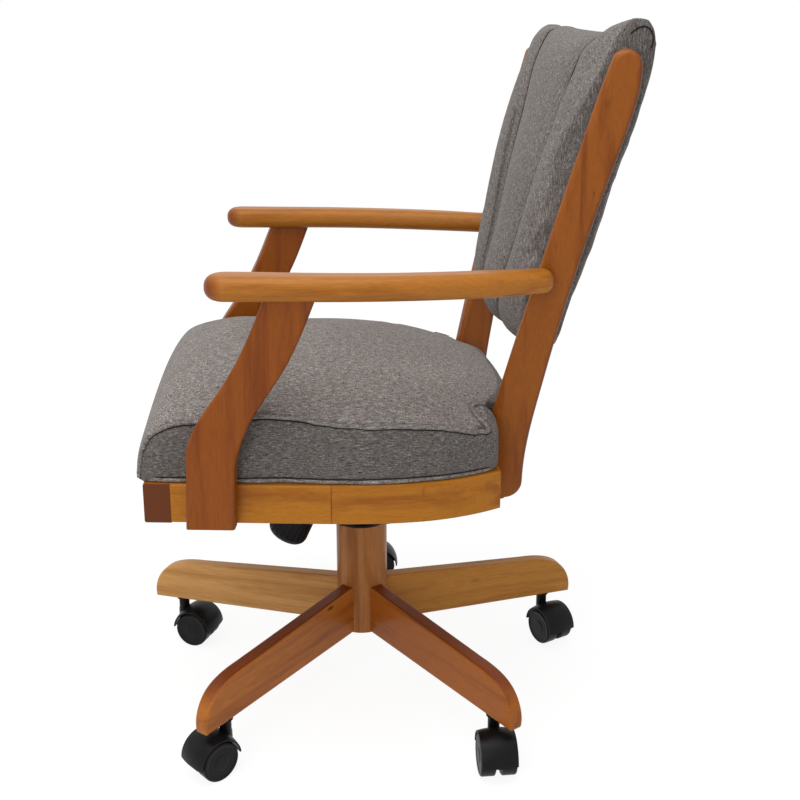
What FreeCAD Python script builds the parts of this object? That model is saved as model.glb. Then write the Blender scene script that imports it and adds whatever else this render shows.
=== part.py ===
"""Wooden swivel armchair on a five-legged base with twin-wheel casters.

Millimetres, +Z up. The chair faces -Y and the sitter's left is +X. The origin is on the
floor, under the column's axis. Every driving size is a cell of the sheet below.
"""
import FreeCAD
import Part
import Sketcher
import math
import os
from FreeCAD import Placement, Rotation, Vector

SIZES = {
    # base
    "base_turn": 31.6,
    "leg_count": 5,
    "column_radius": 35.7,
    "column_bottom": 72.0,
    "column_top": 233.0,
    "leg_thick": 20.5,
    "leg_hub_top": 142.2,
    "leg_shoulder_top": 129.0,
    "leg_nose": 75.0,
    "leg_reach": 328.0,
    "leg_tip_rise": 4.2,
    "leg_edge_round": 3.5,
    "dowel_radius": 5.0,
    "dowel_into_column": 16.0,
    "dowel_into_leg": 32.0,
    "dowel_inset": 14.0,
    # swivel column
    "spindle_radius": 12.5,
    "running_gap": 0.05,
    "sleeve_wall": 3.45,
    "flange_thick": 3.0,
    "rest_gap": 0.3,
    "spindle_bottom": 88.0,
    # casters
    "caster_inset": 41.0,
    "caster_circle": "=leg_reach - caster_inset",
    "wheel_radius": 25.5,
    "wheel_width": 19.0,
    "wheel_bore_depth": 16.5,
    "wheel_edge_round": 3.0,
    "trail": 22.5,
    "hood_radius": 32.0,
    "hood_wall": 3.4,
    "hood_barrel": 2.6,
    "web_thick": 7.0,
    "wheel_gap": 0.4,
    "axle_radius": 3.0,
    "bore_gap": 0.15,
    "stem_radius": 5.0,
    "stem_lift": 21.5,
    "stem_height": 92.0,
    "neck_radius": 7.6,
    "neck_top": 65.0,
    "socket_wall": 1.6,
    "socket_flange_radius": 10.0,
    "socket_flange_thick": 1.6,
    "socket_height": 96.0,
    # tilt mechanism
    "plate": 3.0,
    "housing_half_width": 32.0,
    "ear_gap": 1.0,
    "housing_height": 43.0,
    "housing_back": 38.0,
    "pivot_radius": 5.0,
    "bolt_tilt": 28.5,
    "bolt_radius": 4.0,
    "knob_bottom_y": -109.1,
    "knob_bottom_z": 209.5,
    "knob_radius": 28.5,
    "knob_height": 40.0,
    "knob_edge_round": 13.0,
    "knob_flutes": 20,
    "flute_radius": 2.6,
    "bolt_head_radius": 9.0,
    "bolt_head_thick": 7.0,
    "lip_station": 92.0,
    "pivot_offset": 65.0,
    "lip_front": 22.0,
    "lip_back": 24.0,
    "lip_slot": 14.0,
    "cross_station": 116.0,
    "spring_radius": 13.0,
    "spring_wire": 1.9,
    "spring_turns": 5,
    "spring_seat_thick": 4.0,
    "bumper_radius": 7.0,
    "bumper_side": 20.0,
    "top_plate_front": -95.0,
    "top_plate_back": 78.0,
    "top_plate_half_width": 80.0,
    "tilt_range": 12.0,
    # seat frame
    "rail_bottom": 334.1,
    "rail_height": 48.9,
    "rail_thick": 28.0,
    "front_rail_thick": 32.0,
    "seat_front": -270.0,
    "seat_front_half": 214.4,
    "splay": 7.7,
    "rail_joint": -50.0,
    "bow_radius": 605.0,
    "corner_radius": 262.0,
    "curve_end": 158.0,
    "curve_inner_end": 153.0,
    "rail_edge_round": 2.5,
    "rear_rail_front": 160.0,
    "rear_rail_thick": 26.0,
    "deck_thick": 10.0,
    "deck_back": 139.0,
    "batten_thick": 20.0,
    "batten_width": 56.0,
    "batten_front": -66.0,
    "batten_back": 46.0,
    "block_leg": 46.0,
    "block_height": 30.0,
    "bracket_screw_radius": 3.0,
    "bracket_screw_head": 6.5,
    # arm posts and arms
    "post_thick": 20.5,
    "arm_post_lean": 0.022,
    "arm_thick": 29.0,
    "arm_under_front": 611.2,
    "arm_front": -134.0,
    "arm_front_x": 250.1,
    "arm_front_y": -161.5,
    "arm_front_radius": 24.1,
    "arm_back_out": 13.8,
    "arm_back_lap": 0.6,
    "arm_back_radius": 15.8,
    "arm_slope": 1.4,
    "arm_round": 13.0,
    "frame_bolt_radius": 3.5,
    # back posts, panel and cushions
    "back_post_x": 180.3,
    "back_post_y": 170.0,
    "back_post_z": 495.0,
    "back_post_splay": 0.235,
    "back_post_lean": 0.113,
    "back_edge_round": 6.0,
    "arm_post_edge_round": 4.0,
    "back_panel_thick": 14.0,
    "seat_side_height": 85.0,
    "seat_crown_height": 126.0,
    "back_ear_top": 911.0,
    "back_ear_half": 221.0,
    "back_centre_top": 899.0,
    "back_puff": 8.5,
}

doc = FreeCAD.newDocument("SwivelChair")
sheet = doc.addObject("Spreadsheet::Sheet", "Sizes")
for row, (alias, number) in enumerate(SIZES.items(), start=1):
    sheet.set("A%d" % row, alias)
    sheet.set("B%d" % row, str(number))
    sheet.setAlias("B%d" % row, alias)
doc.recompute()

nodes = []


def size(alias):
    """The number in a named cell."""
    return float(sheet.get(alias))


def keep(feature, label):
    """List a finished sub-part under its own name."""
    feature.Label = label
    nodes.append(feature)
    return feature


def new_body(name):
    return doc.addObject("PartDesign::Body", name)


def sketch_on(body, role, name, level=None):
    """A sketch on one of the body's origin planes, raised by an expression."""
    plane = [item for item in body.Origin.OriginFeatures if item.Role == role][0]
    sketch = body.newObject("Sketcher::SketchObject", name)
    sketch.AttachmentSupport = [(plane, "")]
    sketch.MapMode = "FlatFace"
    if level is not None:
        sketch.setExpression(".AttachmentOffset.Base.z", level)
    return sketch


def draw_circle(sketch, radius, x="0", y="0"):
    """A circle whose radius and centre are expressions."""
    ring = sketch.addGeometry(Part.Circle(Vector(0, 0, 0), Vector(0, 0, 1), 1.0), False)
    rows = [("Radius", (ring, 1.0), radius)]
    if x == "0" and y == "0":
        sketch.addConstraint(Sketcher.Constraint("Coincident", ring, 3, -1, 1))
    else:
        rows.append(("DistanceX", (-1, 1, ring, 3, 0.0), x))
        rows.append(("DistanceY", (-1, 1, ring, 3, 0.0), y))
    for kind, ends, text in rows:
        index = sketch.addConstraint(Sketcher.Constraint(kind, *ends))
        sketch.setExpression("Constraints[%d]" % index, text)


def draw_polygon(sketch, corners):
    """Straight edges through corners, fixed where the values put them."""
    points = [Vector(x, y, 0) for x, y in corners]
    for start, end in zip(points, points[1:] + points[:1]):
        if (end - start).Length > 1e-6:
            sketch.addGeometry(Part.LineSegment(start, end), False)


def draw_path(sketch, runs):
    """A closed outline of runs. Two points are a line, three with 'arc' an arc, more a curve."""
    for kind, corners in runs:
        points = [Vector(x, y, 0) for x, y in corners]
        if kind == "line":
            for start, end in zip(points, points[1:]):
                sketch.addGeometry(Part.LineSegment(start, end), False)
        elif kind == "arc":
            sketch.addGeometry(Part.Arc(*points), False)
        else:
            curve = Part.BSplineCurve()
            curve.interpolate(points)
            sketch.addGeometry(curve, False)


def pad(body, sketch, length, midplane=False, reverse=False):
    feature = body.newObject("PartDesign::Pad", sketch.Name + "_pad")
    feature.Profile = sketch
    feature.Midplane = midplane
    feature.Reversed = reverse
    feature.setExpression("Length", length)
    return feature


def pocket(body, sketch, length=None, midplane=False, reverse=False):
    feature = body.newObject("PartDesign::Pocket", sketch.Name + "_pocket")
    feature.Profile = sketch
    feature.Midplane = midplane
    feature.Reversed = reverse
    if length is None:
        feature.Type = "ThroughAll"
    else:
        feature.setExpression("Length", length)
    return feature


def revolve(body, sketch, axis, angle=360.0):
    feature = body.newObject("PartDesign::Revolution", sketch.Name + "_turned")
    feature.Profile = sketch
    feature.ReferenceAxis = (sketch, [axis])
    feature.Angle = angle
    return feature


def round_edges(body, base, chosen, radius, name):
    """Fillet the edges of the base that the test picks."""
    doc.recompute()
    picked = [
        "Edge%d" % number
        for number, edge in enumerate(base.Shape.Edges, start=1)
        if chosen(edge)
    ]
    fillet = body.newObject("PartDesign::Fillet", name)
    fillet.Base = (base, picked)
    fillet.setExpression("Radius", radius)
    return fillet


def cut(base, tool, name):
    feature = doc.addObject("Part::Cut", name)
    feature.Base = base
    feature.Tool = tool
    return feature


def fuse(parts, name):
    feature = doc.addObject("Part::MultiFuse", name)
    feature.Shapes = parts
    return feature


def compound(parts, name):
    feature = doc.addObject("Part::Compound", name)
    feature.Links = parts
    return feature


def mirrored(source, name):
    """The same piece on the other side of the chair's middle plane."""
    feature = doc.addObject("Part::Mirroring", name)
    feature.Source = source
    feature.Normal = Vector(1, 0, 0)
    feature.Base = Vector(0, 0, 0)
    return feature


def cylinder(name, radius, height, place):
    feature = doc.addObject("Part::Cylinder", name)
    feature.setExpression("Radius", radius)
    feature.setExpression("Height", height)
    feature.Placement = place
    return feature


def about_z(degrees):
    return Placement(Vector(0, 0, 0), Rotation(Vector(0, 0, 1), degrees))


def flat_round(edge, axis, low, high):
    """True for an edge that lies at one of two levels along an axis."""
    spots = [edge.valueAt(edge.FirstParameter + part * (edge.LastParameter - edge.FirstParameter))
             for part in (0.0, 0.3, 0.7, 1.0)]
    levels = [spot[axis] for spot in spots]
    if max(levels) - min(levels) > 1e-4:
        return False
    return min(abs(levels[0] - low), abs(levels[0] - high)) < 1e-4


LEG_ANGLES = [size("base_turn") + 360.0 / size("leg_count") * leg for leg in range(int(size("leg_count")))]
SLEEVE_RADIUS = "Sizes.spindle_radius + Sizes.running_gap + Sizes.sleeve_wall"


def make_column():
    """Turned wooden column with a bore for the steel sleeve."""
    body = new_body("ColumnBody")
    outer = sketch_on(body, "XY_Plane", "ColumnOuter", "Sizes.column_bottom")
    draw_circle(outer, "Sizes.column_radius")
    pad(body, outer, "Sizes.column_top - Sizes.column_bottom")
    bore = sketch_on(body, "XY_Plane", "ColumnBore", "Sizes.column_top")
    draw_circle(bore, SLEEVE_RADIUS)
    pocket(body, bore)
    return body


def make_leg_board(number, angle):
    """One board: level top from the column, then a rounded drop over the caster."""
    reach = size("leg_reach")
    bottom = size("column_bottom")
    tip_bottom = bottom - size("leg_tip_rise")
    hub_top = size("leg_hub_top")
    shoulder = size("leg_shoulder_top")
    drop_start = size("leg_reach") - size("leg_nose")
    start = size("column_radius") * 0.6
    body = new_body("LegBody%d" % number)
    body.Placement = about_z(angle)
    profile = sketch_on(body, "XZ_Plane", "LegProfile%d" % number)
    slope = (shoulder - hub_top) / (drop_start - size("column_radius"))
    top_start = hub_top + slope * (start - size("column_radius"))
    drop = shoulder - tip_bottom
    run = reach - drop_start
    nose = [(drop_start, shoulder)]
    for turn in (25.0, 50.0, 72.0):
        nose.append((
            drop_start + run * math.sin(math.radians(turn)) ** 0.92,
            tip_bottom + drop * math.cos(math.radians(turn)) ** 0.62,
        ))
    nose.append((reach, tip_bottom))
    draw_path(profile, [
        ("line", [(start, bottom), (start, top_start), (drop_start, shoulder)]),
        ("curve", nose),
        ("line", [(reach, tip_bottom), (start, bottom)]),
    ])
    board = pad(body, profile, "Sizes.leg_thick", midplane=True)
    half = size("leg_thick") / 2
    round_edges(
        body, board,
        lambda edge: flat_round(edge, 1, -half, half) and edge.BoundBox.XMax > start + 1,
        "Sizes.leg_edge_round", "LegRound%d" % number,
    )
    coping = sketch_on(body, "XY_Plane", "LegCope%d" % number)
    draw_circle(coping, "Sizes.column_radius")
    pocket(body, coping, "Sizes.column_top", reverse=True)
    socket = sketch_on(body, "XY_Plane", "LegSocket%d" % number)
    draw_circle(socket, "Sizes.stem_radius + Sizes.running_gap + Sizes.socket_wall", x="Sizes.caster_circle")
    pocket(body, socket, "Sizes.socket_height", reverse=True)
    return body


def make_dowels():
    """Two dowels in each joint between leg and column."""
    pins = []
    for number, angle in enumerate(LEG_ANGLES, start=1):
        for spot, level in (("Low", "Sizes.column_bottom + Sizes.dowel_inset"),
                            ("High", "Sizes.leg_hub_top - Sizes.dowel_inset")):
            place = Placement(Vector(0, 0, 0), Rotation(Vector(0, 0, 1), angle).multiply(
                Rotation(Vector(0, 1, 0), 90)))
            turn = math.radians(angle)
            pin = cylinder("Dowel%s%d" % (spot, number), "Sizes.dowel_radius",
                           "Sizes.dowel_into_column + Sizes.dowel_into_leg", place)
            inner = "(Sizes.column_radius - Sizes.dowel_into_column)"
            pin.setExpression(".Placement.Base.x", "%s * %.9f" % (inner, math.cos(turn)))
            pin.setExpression(".Placement.Base.y", "%s * %.9f" % (inner, math.sin(turn)))
            pin.setExpression(".Placement.Base.z", level)
            pins.append(pin)
    return compound(pins, "LegDowels")


def make_sleeve():
    """Steel tube in the column, with the flange that covers the column's end."""
    body = new_body("SleeveBody")
    profile = sketch_on(body, "XZ_Plane", "SleeveProfile")
    inner = size("spindle_radius") + size("running_gap")
    outer = inner + size("sleeve_wall")
    low = size("column_bottom")
    top = size("column_top")
    rim = size("column_radius")
    cover = top + size("flange_thick")
    draw_polygon(profile, [(inner, low), (outer, low), (outer, top), (rim, top), (rim, cover), (inner, cover)])
    revolve(body, profile, "V_Axis")
    return body


def make_sockets():
    """Steel sockets pressed into the leg tips, with a flange under each leg."""
    sockets = []
    inner = size("stem_radius") + size("running_gap")
    outer = inner + size("socket_wall")
    rise = size("leg_tip_rise") * (size("caster_circle") + size("socket_flange_radius")
                                   - size("column_radius")) / (size("leg_reach") - size("column_radius"))
    seat = size("column_bottom") - rise
    brim = size("socket_flange_radius")
    low = seat - size("socket_flange_thick")
    top = size("socket_height")
    for number, angle in enumerate(LEG_ANGLES, start=1):
        body = new_body("SocketBody%d" % number)
        turn = math.radians(angle)
        body.Placement = about_z(angle)
        body.setExpression(".Placement.Base.x", "Sizes.caster_circle * %.9f" % math.cos(turn))
        body.setExpression(".Placement.Base.y", "Sizes.caster_circle * %.9f" % math.sin(turn))
        profile = sketch_on(body, "XZ_Plane", "SocketProfile%d" % number)
        draw_polygon(profile, [
            (inner, low), (brim, low), (brim, seat), (outer, seat), (outer, top), (0, top),
            (0, top - size("socket_wall")), (inner, top - size("socket_wall")),
        ])
        revolve(body, profile, "V_Axis")
        sockets.append(body)
    return compound(sockets, "CasterSockets")


HEADINGS = [0.0, 26.0, 90.0, 65.0, -52.0]


def make_caster(number, angle, heading):
    """Twin-wheel caster: stem and axle, barrel hood with a middle web, two wheels."""
    turn = math.radians(angle)
    base = Placement(
        Vector(size("caster_circle") * math.cos(turn), size("caster_circle") * math.sin(turn), 0),
        Rotation(Vector(0, 0, 1), heading),
    )
    trail = size("trail")
    radius = size("wheel_radius")
    hood = size("hood_radius")
    half_web = size("web_thick") / 2
    inside = half_web + size("wheel_gap")
    outside = inside + size("wheel_width")
    barrel = hood - size("hood_barrel")
    lining = hood - size("hood_wall")

    body = new_body("HoodBody%d" % number)
    body.Placement = base
    across = sketch_on(body, "XY_Plane", "HoodAcross%d" % number, "Sizes.wheel_radius")
    draw_path(across, [
        ("line", [(trail + barrel, -outside), (trail + lining - 1.2, -outside),
                  (trail + lining, -half_web), (trail + lining, half_web),
                  (trail + lining - 1.2, outside), (trail + barrel, outside)]),
        ("arc", [(trail + barrel, outside), (trail + hood, 0), (trail + barrel, -outside)]),
    ])
    across.addGeometry(Part.LineSegment(Vector(trail, -1, 0), Vector(trail, 1, 0)), True)
    shell = revolve(body, across, "Axis0", 175.0)
    shell.Reversed = True
    middle = sketch_on(body, "XZ_Plane", "HoodWeb%d" % number)
    boss = size("neck_radius")
    shoulder = radius + math.sqrt(lining ** 2 - (trail - boss) ** 2)
    draw_path(middle, [
        ("arc", [(trail + 9.0, radius), (trail, radius - 9.0), (trail - 9.0, radius)]),
        ("line", [(trail - 9.0, radius), (-boss, radius + 8.0), (-boss, shoulder), (boss, shoulder)]),
        ("arc", [(boss, shoulder), (trail + 0.4 * lining, radius + 0.917 * lining), (trail + lining, radius)]),
        ("line", [(trail + lining, radius), (trail + 9.0, radius)]),
    ])
    pad(body, middle, "Sizes.web_thick", midplane=True)
    neck = sketch_on(body, "XY_Plane", "HoodNeck%d" % number, "Sizes.wheel_radius + 8")
    draw_circle(neck, "Sizes.neck_radius")
    pad(body, neck, "Sizes.neck_top - Sizes.wheel_radius - 8")
    for side in (-1, 1):
        clear = sketch_on(body, "XZ_Plane", "HoodClear%d%s" % (number, "ab"[side > 0]))
        clear.setExpression(".AttachmentOffset.Base.z", "%d * Sizes.web_thick / 2" % side)
        draw_circle(clear, "Sizes.hood_radius - Sizes.hood_wall - 1.2", x="Sizes.trail", y="Sizes.wheel_radius")
        pocket(body, clear, "Sizes.wheel_width + Sizes.wheel_gap", reverse=(side > 0))
    bore = sketch_on(body, "XY_Plane", "HoodBore%d" % number, "Sizes.neck_top")
    draw_circle(bore, "Sizes.stem_radius")
    pocket(body, bore, "Sizes.neck_top - Sizes.wheel_radius - Sizes.stem_lift")
    hub = sketch_on(body, "XZ_Plane", "HoodHub%d" % number)
    draw_circle(hub, "Sizes.axle_radius", x="Sizes.trail", y="Sizes.wheel_radius")
    pocket(body, hub, "Sizes.web_thick * 2", midplane=True)

    stem = new_body("StemBody%d" % number)
    stem.Placement = base
    shank = sketch_on(stem, "XY_Plane", "StemShank%d" % number, "Sizes.wheel_radius + Sizes.stem_lift")
    draw_circle(shank, "Sizes.stem_radius")
    pad(stem, shank, "Sizes.stem_height - Sizes.wheel_radius - Sizes.stem_lift")
    axle = new_body("AxleBody%d" % number)
    axle.Placement = base
    rod = sketch_on(axle, "XZ_Plane", "AxleRod%d" % number)
    draw_circle(rod, "Sizes.axle_radius", x="Sizes.trail", y="Sizes.wheel_radius")
    pad(axle, rod, "Sizes.web_thick + 2 * Sizes.wheel_gap + 2 * Sizes.wheel_bore_depth - 1", midplane=True)

    wheels = []
    for letter, side in (("a", -1), ("b", 1)):
        wheel = new_body("WheelBody%d%s" % (number, letter))
        spot = base.multiply(Placement(Vector(trail, 0, radius), Rotation(Vector(0, 0, 1), 90 * side)))
        wheel.Placement = spot
        section = sketch_on(wheel, "XY_Plane", "WheelSection%d%s" % (number, letter))
        bore_radius = size("axle_radius") + size("bore_gap")
        edge = size("wheel_edge_round")
        depth = inside + size("wheel_bore_depth")
        draw_path(section, [
            ("line", [(inside, bore_radius), (inside, radius - edge / 2), (inside + edge / 2, radius),
                      (outside - edge, radius)]),
            ("arc", [(outside - edge, radius), (outside - 0.3 * edge, radius - 0.3 * edge),
                     (outside, radius - edge)]),
            ("line", [(outside, radius - edge), (outside - 0.8, radius - edge - 3.0),
                      (outside - 0.8, radius - edge - 12.0), (outside, radius - edge - 14.0),
                      (outside, 0), (depth, 0), (depth, bore_radius), (inside, bore_radius)]),
        ])
        revolve(wheel, section, "H_Axis")
        wheels.append(wheel)
    return body, compound([stem, axle], "CasterPins%d" % number), wheels


def make_base():
    dowels = make_dowels()
    column = cut(make_column(), dowels, "ColumnDrilled")
    keep(column, "hub_column")
    for number, angle in enumerate(LEG_ANGLES, start=1):
        keep(cut(make_leg_board(number, angle), dowels, "LegDrilled%d" % number), "leg_%d" % number)
    keep(dowels, "leg_dowels")
    keep(make_sleeve(), "swivel_sleeve")
    keep(make_sockets(), "caster_sockets")
    for number, angle in enumerate(LEG_ANGLES, start=1):
        hood, pins, wheels = make_caster(number, angle, HEADINGS[(number - 1) % len(HEADINGS)])
        keep(hood, "caster_hood_%d" % number)
        keep(pins, "caster_pins_%d" % number)
        keep(wheels[0], "caster_wheel_a_%d" % number)
        keep(wheels[1], "caster_wheel_b_%d" % number)


TILT = math.radians(size("bolt_tilt"))
ALONG = (math.sin(TILT), math.cos(TILT))
ACROSS = (math.cos(TILT), -math.sin(TILT))


def station(along, across=0.0):
    """A point (Y, Z) measured along the tension bolt from the knob's end, and across it."""
    return (
        size("knob_bottom_y") + along * ALONG[0] + across * ACROSS[0],
        size("knob_bottom_z") + along * ALONG[1] + across * ACROSS[1],
    )


PIVOT = station(size("lip_station"), size("pivot_offset"))
PLATE_FLOOR = "Sizes.column_top + Sizes.flange_thick + Sizes.rest_gap"
FLOOR_LEVEL = size("column_top") + size("flange_thick") + size("rest_gap")


def bolt_place(along, side=0.0):
    """A placement whose Z runs up the tension bolt."""
    y, z = station(along)
    return Placement(Vector(side, y, z), Rotation(Vector(1, 0, 0), -size("bolt_tilt")))


def make_spindle():
    """Steel post that turns in the sleeve and carries the tilt housing."""
    body = new_body("SpindleBody")
    shank = sketch_on(body, "XY_Plane", "SpindleShank", "Sizes.spindle_bottom")
    draw_circle(shank, "Sizes.spindle_radius")
    pad(body, shank, PLATE_FLOOR + " + Sizes.plate - Sizes.spindle_bottom")
    return body


def make_housing():
    """Pressed channel on the spindle. Its front arms carry the lip that the spring bears on."""
    body = new_body("HousingBody")
    floor = FLOOR_LEVEL
    top = floor + size("housing_height")
    back = size("housing_back")
    plate = size("plate")
    lip = size("lip_station")
    front = -size("lip_front")
    rear = size("lip_back")
    side = sketch_on(body, "YZ_Plane", "HousingSide")
    draw_polygon(side, [
        (back, floor), (back, floor + 0.5 * size("housing_height")), (back - 20.0, top),
        station(lip + plate, rear), station(lip + plate, front), station(lip - 9.0, front), (-30.0, floor),
    ])
    pad(body, side, "2 * Sizes.housing_half_width", midplane=True)
    inner = sketch_on(body, "YZ_Plane", "HousingInner")
    draw_polygon(inner, [
        (back + 5.0, floor + plate), (back + 5.0, top + 40.0), (-20.0, top + 40.0),
        station(lip - 30.0, front - 40.0), (-60.0, floor - 5.0), (-30.0, floor - 5.0), (-30.0, floor + plate),
    ])
    pocket(body, inner, "2 * (Sizes.housing_half_width - Sizes.plate)", midplane=True)
    lip_sketch = sketch_on(body, "YZ_Plane", "HousingLip")
    draw_polygon(lip_sketch, [
        station(lip, front), station(lip, rear), station(lip + plate, rear), station(lip + plate, front),
    ])
    pad(body, lip_sketch, "2 * Sizes.housing_half_width", midplane=True)
    hinge = sketch_on(body, "YZ_Plane", "HousingHinge")
    draw_circle(hinge, "Sizes.pivot_radius", x="%.6f" % PIVOT[0], y="%.6f" % PIVOT[1])
    pocket(body, hinge, "2 * Sizes.housing_half_width + 2", midplane=True)
    seat = sketch_on(body, "XY_Plane", "HousingSeat", PLATE_FLOOR + " + Sizes.plate")
    draw_circle(seat, "Sizes.spindle_radius")
    pocket(body, seat, "Sizes.plate")
    slot = doc.addObject("Part::Box", "LipSlot")
    slot.setExpression("Length", "2 * (Sizes.bolt_radius + 1)")
    slot.setExpression("Width", "Sizes.lip_slot + Sizes.bolt_radius + 2")
    slot.setExpression("Height", "Sizes.plate + 4")
    slot.Placement = bolt_place(lip - 2.0).multiply(
        Placement(Vector(-size("bolt_radius") - 1, -size("lip_slot"), 0), Rotation()))
    return cut(body, slot, "HousingSlotted")


def make_bracket(screws):
    """Pressed seat bracket: two ears on the tilt axle, a cross plate and a top plate."""
    body = new_body("BracketBody")
    plate = size("plate")
    inner = size("housing_half_width") + size("ear_gap")
    top = size("rail_bottom") + size("rail_height") - size("deck_thick") - size("batten_thick")
    under = top - plate
    front = size("top_plate_front")
    back = size("top_plate_back")
    cross = size("cross_station")
    front_side = -size("lip_front")
    rear_side = size("lip_back")
    lobe = size("pivot_radius") + 9.0
    ear = sketch_on(body, "YZ_Plane", "BracketEar")
    draw_path(ear, [
        ("line", [(PIVOT[0] - lobe, PIVOT[1]), station(cross, front_side),
                  station(cross + plate + 6, front_side - 4),
                  (front, under), (back, under), (PIVOT[0] + lobe, PIVOT[1])]),
        ("arc", [(PIVOT[0] + lobe, PIVOT[1]), (PIVOT[0], PIVOT[1] - lobe), (PIVOT[0] - lobe, PIVOT[1])]),
    ])
    pad(body, ear, "2 * (Sizes.housing_half_width + Sizes.ear_gap + Sizes.plate)", midplane=True)
    gap = sketch_on(body, "YZ_Plane", "BracketGap")
    draw_polygon(gap, [(front - 40, PIVOT[1] - 60), (back + 40, PIVOT[1] - 60), (back + 40, top), (front - 40, top)])
    pocket(body, gap, "2 * (Sizes.housing_half_width + Sizes.ear_gap)", midplane=True)
    cover = sketch_on(body, "XY_Plane", "BracketTop")
    cover.setExpression(".AttachmentOffset.Base.z", "%.6f" % under)
    half = size("top_plate_half_width")
    draw_polygon(cover, [(-half, front), (half, front), (half, back), (-half, back)])
    pad(body, cover, "Sizes.plate")
    bridge = sketch_on(body, "YZ_Plane", "BracketCross")
    draw_polygon(bridge, [
        station(cross, front_side), station(cross, rear_side),
        station(cross + plate, rear_side), station(cross + plate, front_side),
    ])
    pad(body, bridge, "2 * (Sizes.housing_half_width + Sizes.ear_gap + 0.5)", midplane=True)
    hinge = sketch_on(body, "YZ_Plane", "BracketHinge")
    draw_circle(hinge, "Sizes.pivot_radius + Sizes.running_gap", x="%.6f" % PIVOT[0], y="%.6f" % PIVOT[1])
    pocket(body, hinge, "4 * Sizes.housing_half_width", midplane=True)
    bore = cylinder("BoltBore", "Sizes.bolt_radius", "Sizes.plate + 4", bolt_place(cross - 2.0))
    return cut(cut(body, bore, "BracketBored"), screws, "BracketDrilled")


def make_axle():
    """Tilt axle through the housing and the bracket's ears, with a head at each end."""
    body = new_body("AxleBody")
    rod = sketch_on(body, "YZ_Plane", "TiltRod")
    draw_circle(rod, "Sizes.pivot_radius", x="%.6f" % PIVOT[0], y="%.6f" % PIVOT[1])
    pad(body, rod, "2 * (Sizes.housing_half_width + Sizes.ear_gap + Sizes.plate + 1)", midplane=True)
    for number, side in enumerate((1, -1)):
        head = sketch_on(body, "YZ_Plane", "TiltHead%d" % number)
        head.setExpression(".AttachmentOffset.Base.z",
                           "%d * (Sizes.housing_half_width + Sizes.ear_gap + Sizes.plate + 0.5)" % side)
        draw_circle(head, "Sizes.pivot_radius + 3", x="%.6f" % PIVOT[0], y="%.6f" % PIVOT[1])
        pad(body, head, "3", reverse=(side < 0))
    return body


def make_bolt():
    """Tension bolt, from inside the knob to its head on the bracket's cross plate."""
    body = new_body("BoltBody")
    body.Placement = bolt_place(0.0)
    shank = sketch_on(body, "XY_Plane", "BoltShank", "Sizes.knob_height / 2")
    draw_circle(shank, "Sizes.bolt_radius")
    pad(body, shank, "Sizes.cross_station + Sizes.plate - Sizes.knob_height / 2")
    head = sketch_on(body, "XY_Plane", "BoltHead", "Sizes.cross_station + Sizes.plate")
    draw_circle(head, "Sizes.bolt_head_radius")
    pad(body, head, "Sizes.bolt_head_thick")
    return body


def make_knob():
    """Fluted tension knob with a rounded lower edge and a threaded bore."""
    body = new_body("KnobBody")
    body.Placement = bolt_place(0.0)
    radius = size("knob_radius")
    high = size("knob_height")
    soft = size("knob_edge_round")
    section = sketch_on(body, "XZ_Plane", "KnobSection")
    bend = soft * (1 - math.sqrt(0.5))
    bore = size("bolt_radius") + size("running_gap")
    draw_path(section, [
        ("line", [(0, 0), (radius - soft, 0)]),
        ("arc", [(radius - soft, 0), (radius - bend, bend), (radius, soft)]),
        ("line", [(radius, soft), (radius - 1.5, high - 3), (radius - 5, high), (bore, high),
                  (bore, high / 2), (0, high / 2), (0, 0)]),
    ])
    revolve(body, section, "V_Axis")
    flute = sketch_on(body, "XY_Plane", "KnobFlute", "Sizes.knob_edge_round * 0.5")
    draw_circle(flute, "Sizes.flute_radius", x="Sizes.knob_radius + Sizes.flute_radius * 0.35", y="0.001")
    groove = pocket(body, flute, "Sizes.knob_height", reverse=True)
    pattern = body.newObject("PartDesign::PolarPattern", "KnobFlutes")
    pattern.Originals = [groove]
    pattern.Axis = (flute, ["N_Axis"])
    pattern.Angle = 360.0
    pattern.Occurrences = int(size("knob_flutes"))
    body.Tip = pattern
    return body


def make_spring():
    """Compression spring between the lip and its seat on the knob, one unbroken wire."""
    wire = size("spring_wire")
    coil = size("spring_radius")
    turns = int(size("spring_turns"))
    low = size("knob_height") + size("rest_gap") + size("spring_seat_thick") + wire
    high = size("lip_station") - wire
    helix = Part.makeHelix((high - low) / turns, high - low, coil)
    profile = Part.Wire(Part.makeCircle(wire, Vector(coil, 0, 0), Vector(0, 1, 0)))
    shell = Part.Wire(helix).makePipeShell([profile], True, True)
    print("spring gap between turns %.2f mm" % ((high - low) / turns - 2 * wire))
    feature = doc.addObject("Part::Feature", "Spring")
    feature.Shape = shell
    feature.Placement = bolt_place(low)
    return feature


def make_spring_seat():
    """Dished washer between the spring and the knob."""
    body = new_body("SpringSeatBody")
    body.Placement = bolt_place(0.0)
    ring = sketch_on(body, "XY_Plane", "SpringSeatRing", "Sizes.knob_height + Sizes.rest_gap")
    draw_circle(ring, "Sizes.spring_radius + Sizes.spring_wire + 3")
    draw_circle(ring, "Sizes.bolt_radius")
    pad(body, ring, "Sizes.spring_seat_thick")
    return body


def make_bumpers():
    """Rubber bumpers on the lip, where the bracket rests when the seat is level."""
    pads = []
    for number, side in enumerate((-1, 1)):
        stop = cylinder("Bumper%d" % number, "Sizes.bumper_radius",
                        "Sizes.cross_station - Sizes.lip_station - Sizes.plate - Sizes.rest_gap",
                        bolt_place(size("lip_station") + size("plate"), side * size("bumper_side")))
        pads.append(stop)
    return compound(pads, "Bumpers")


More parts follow.
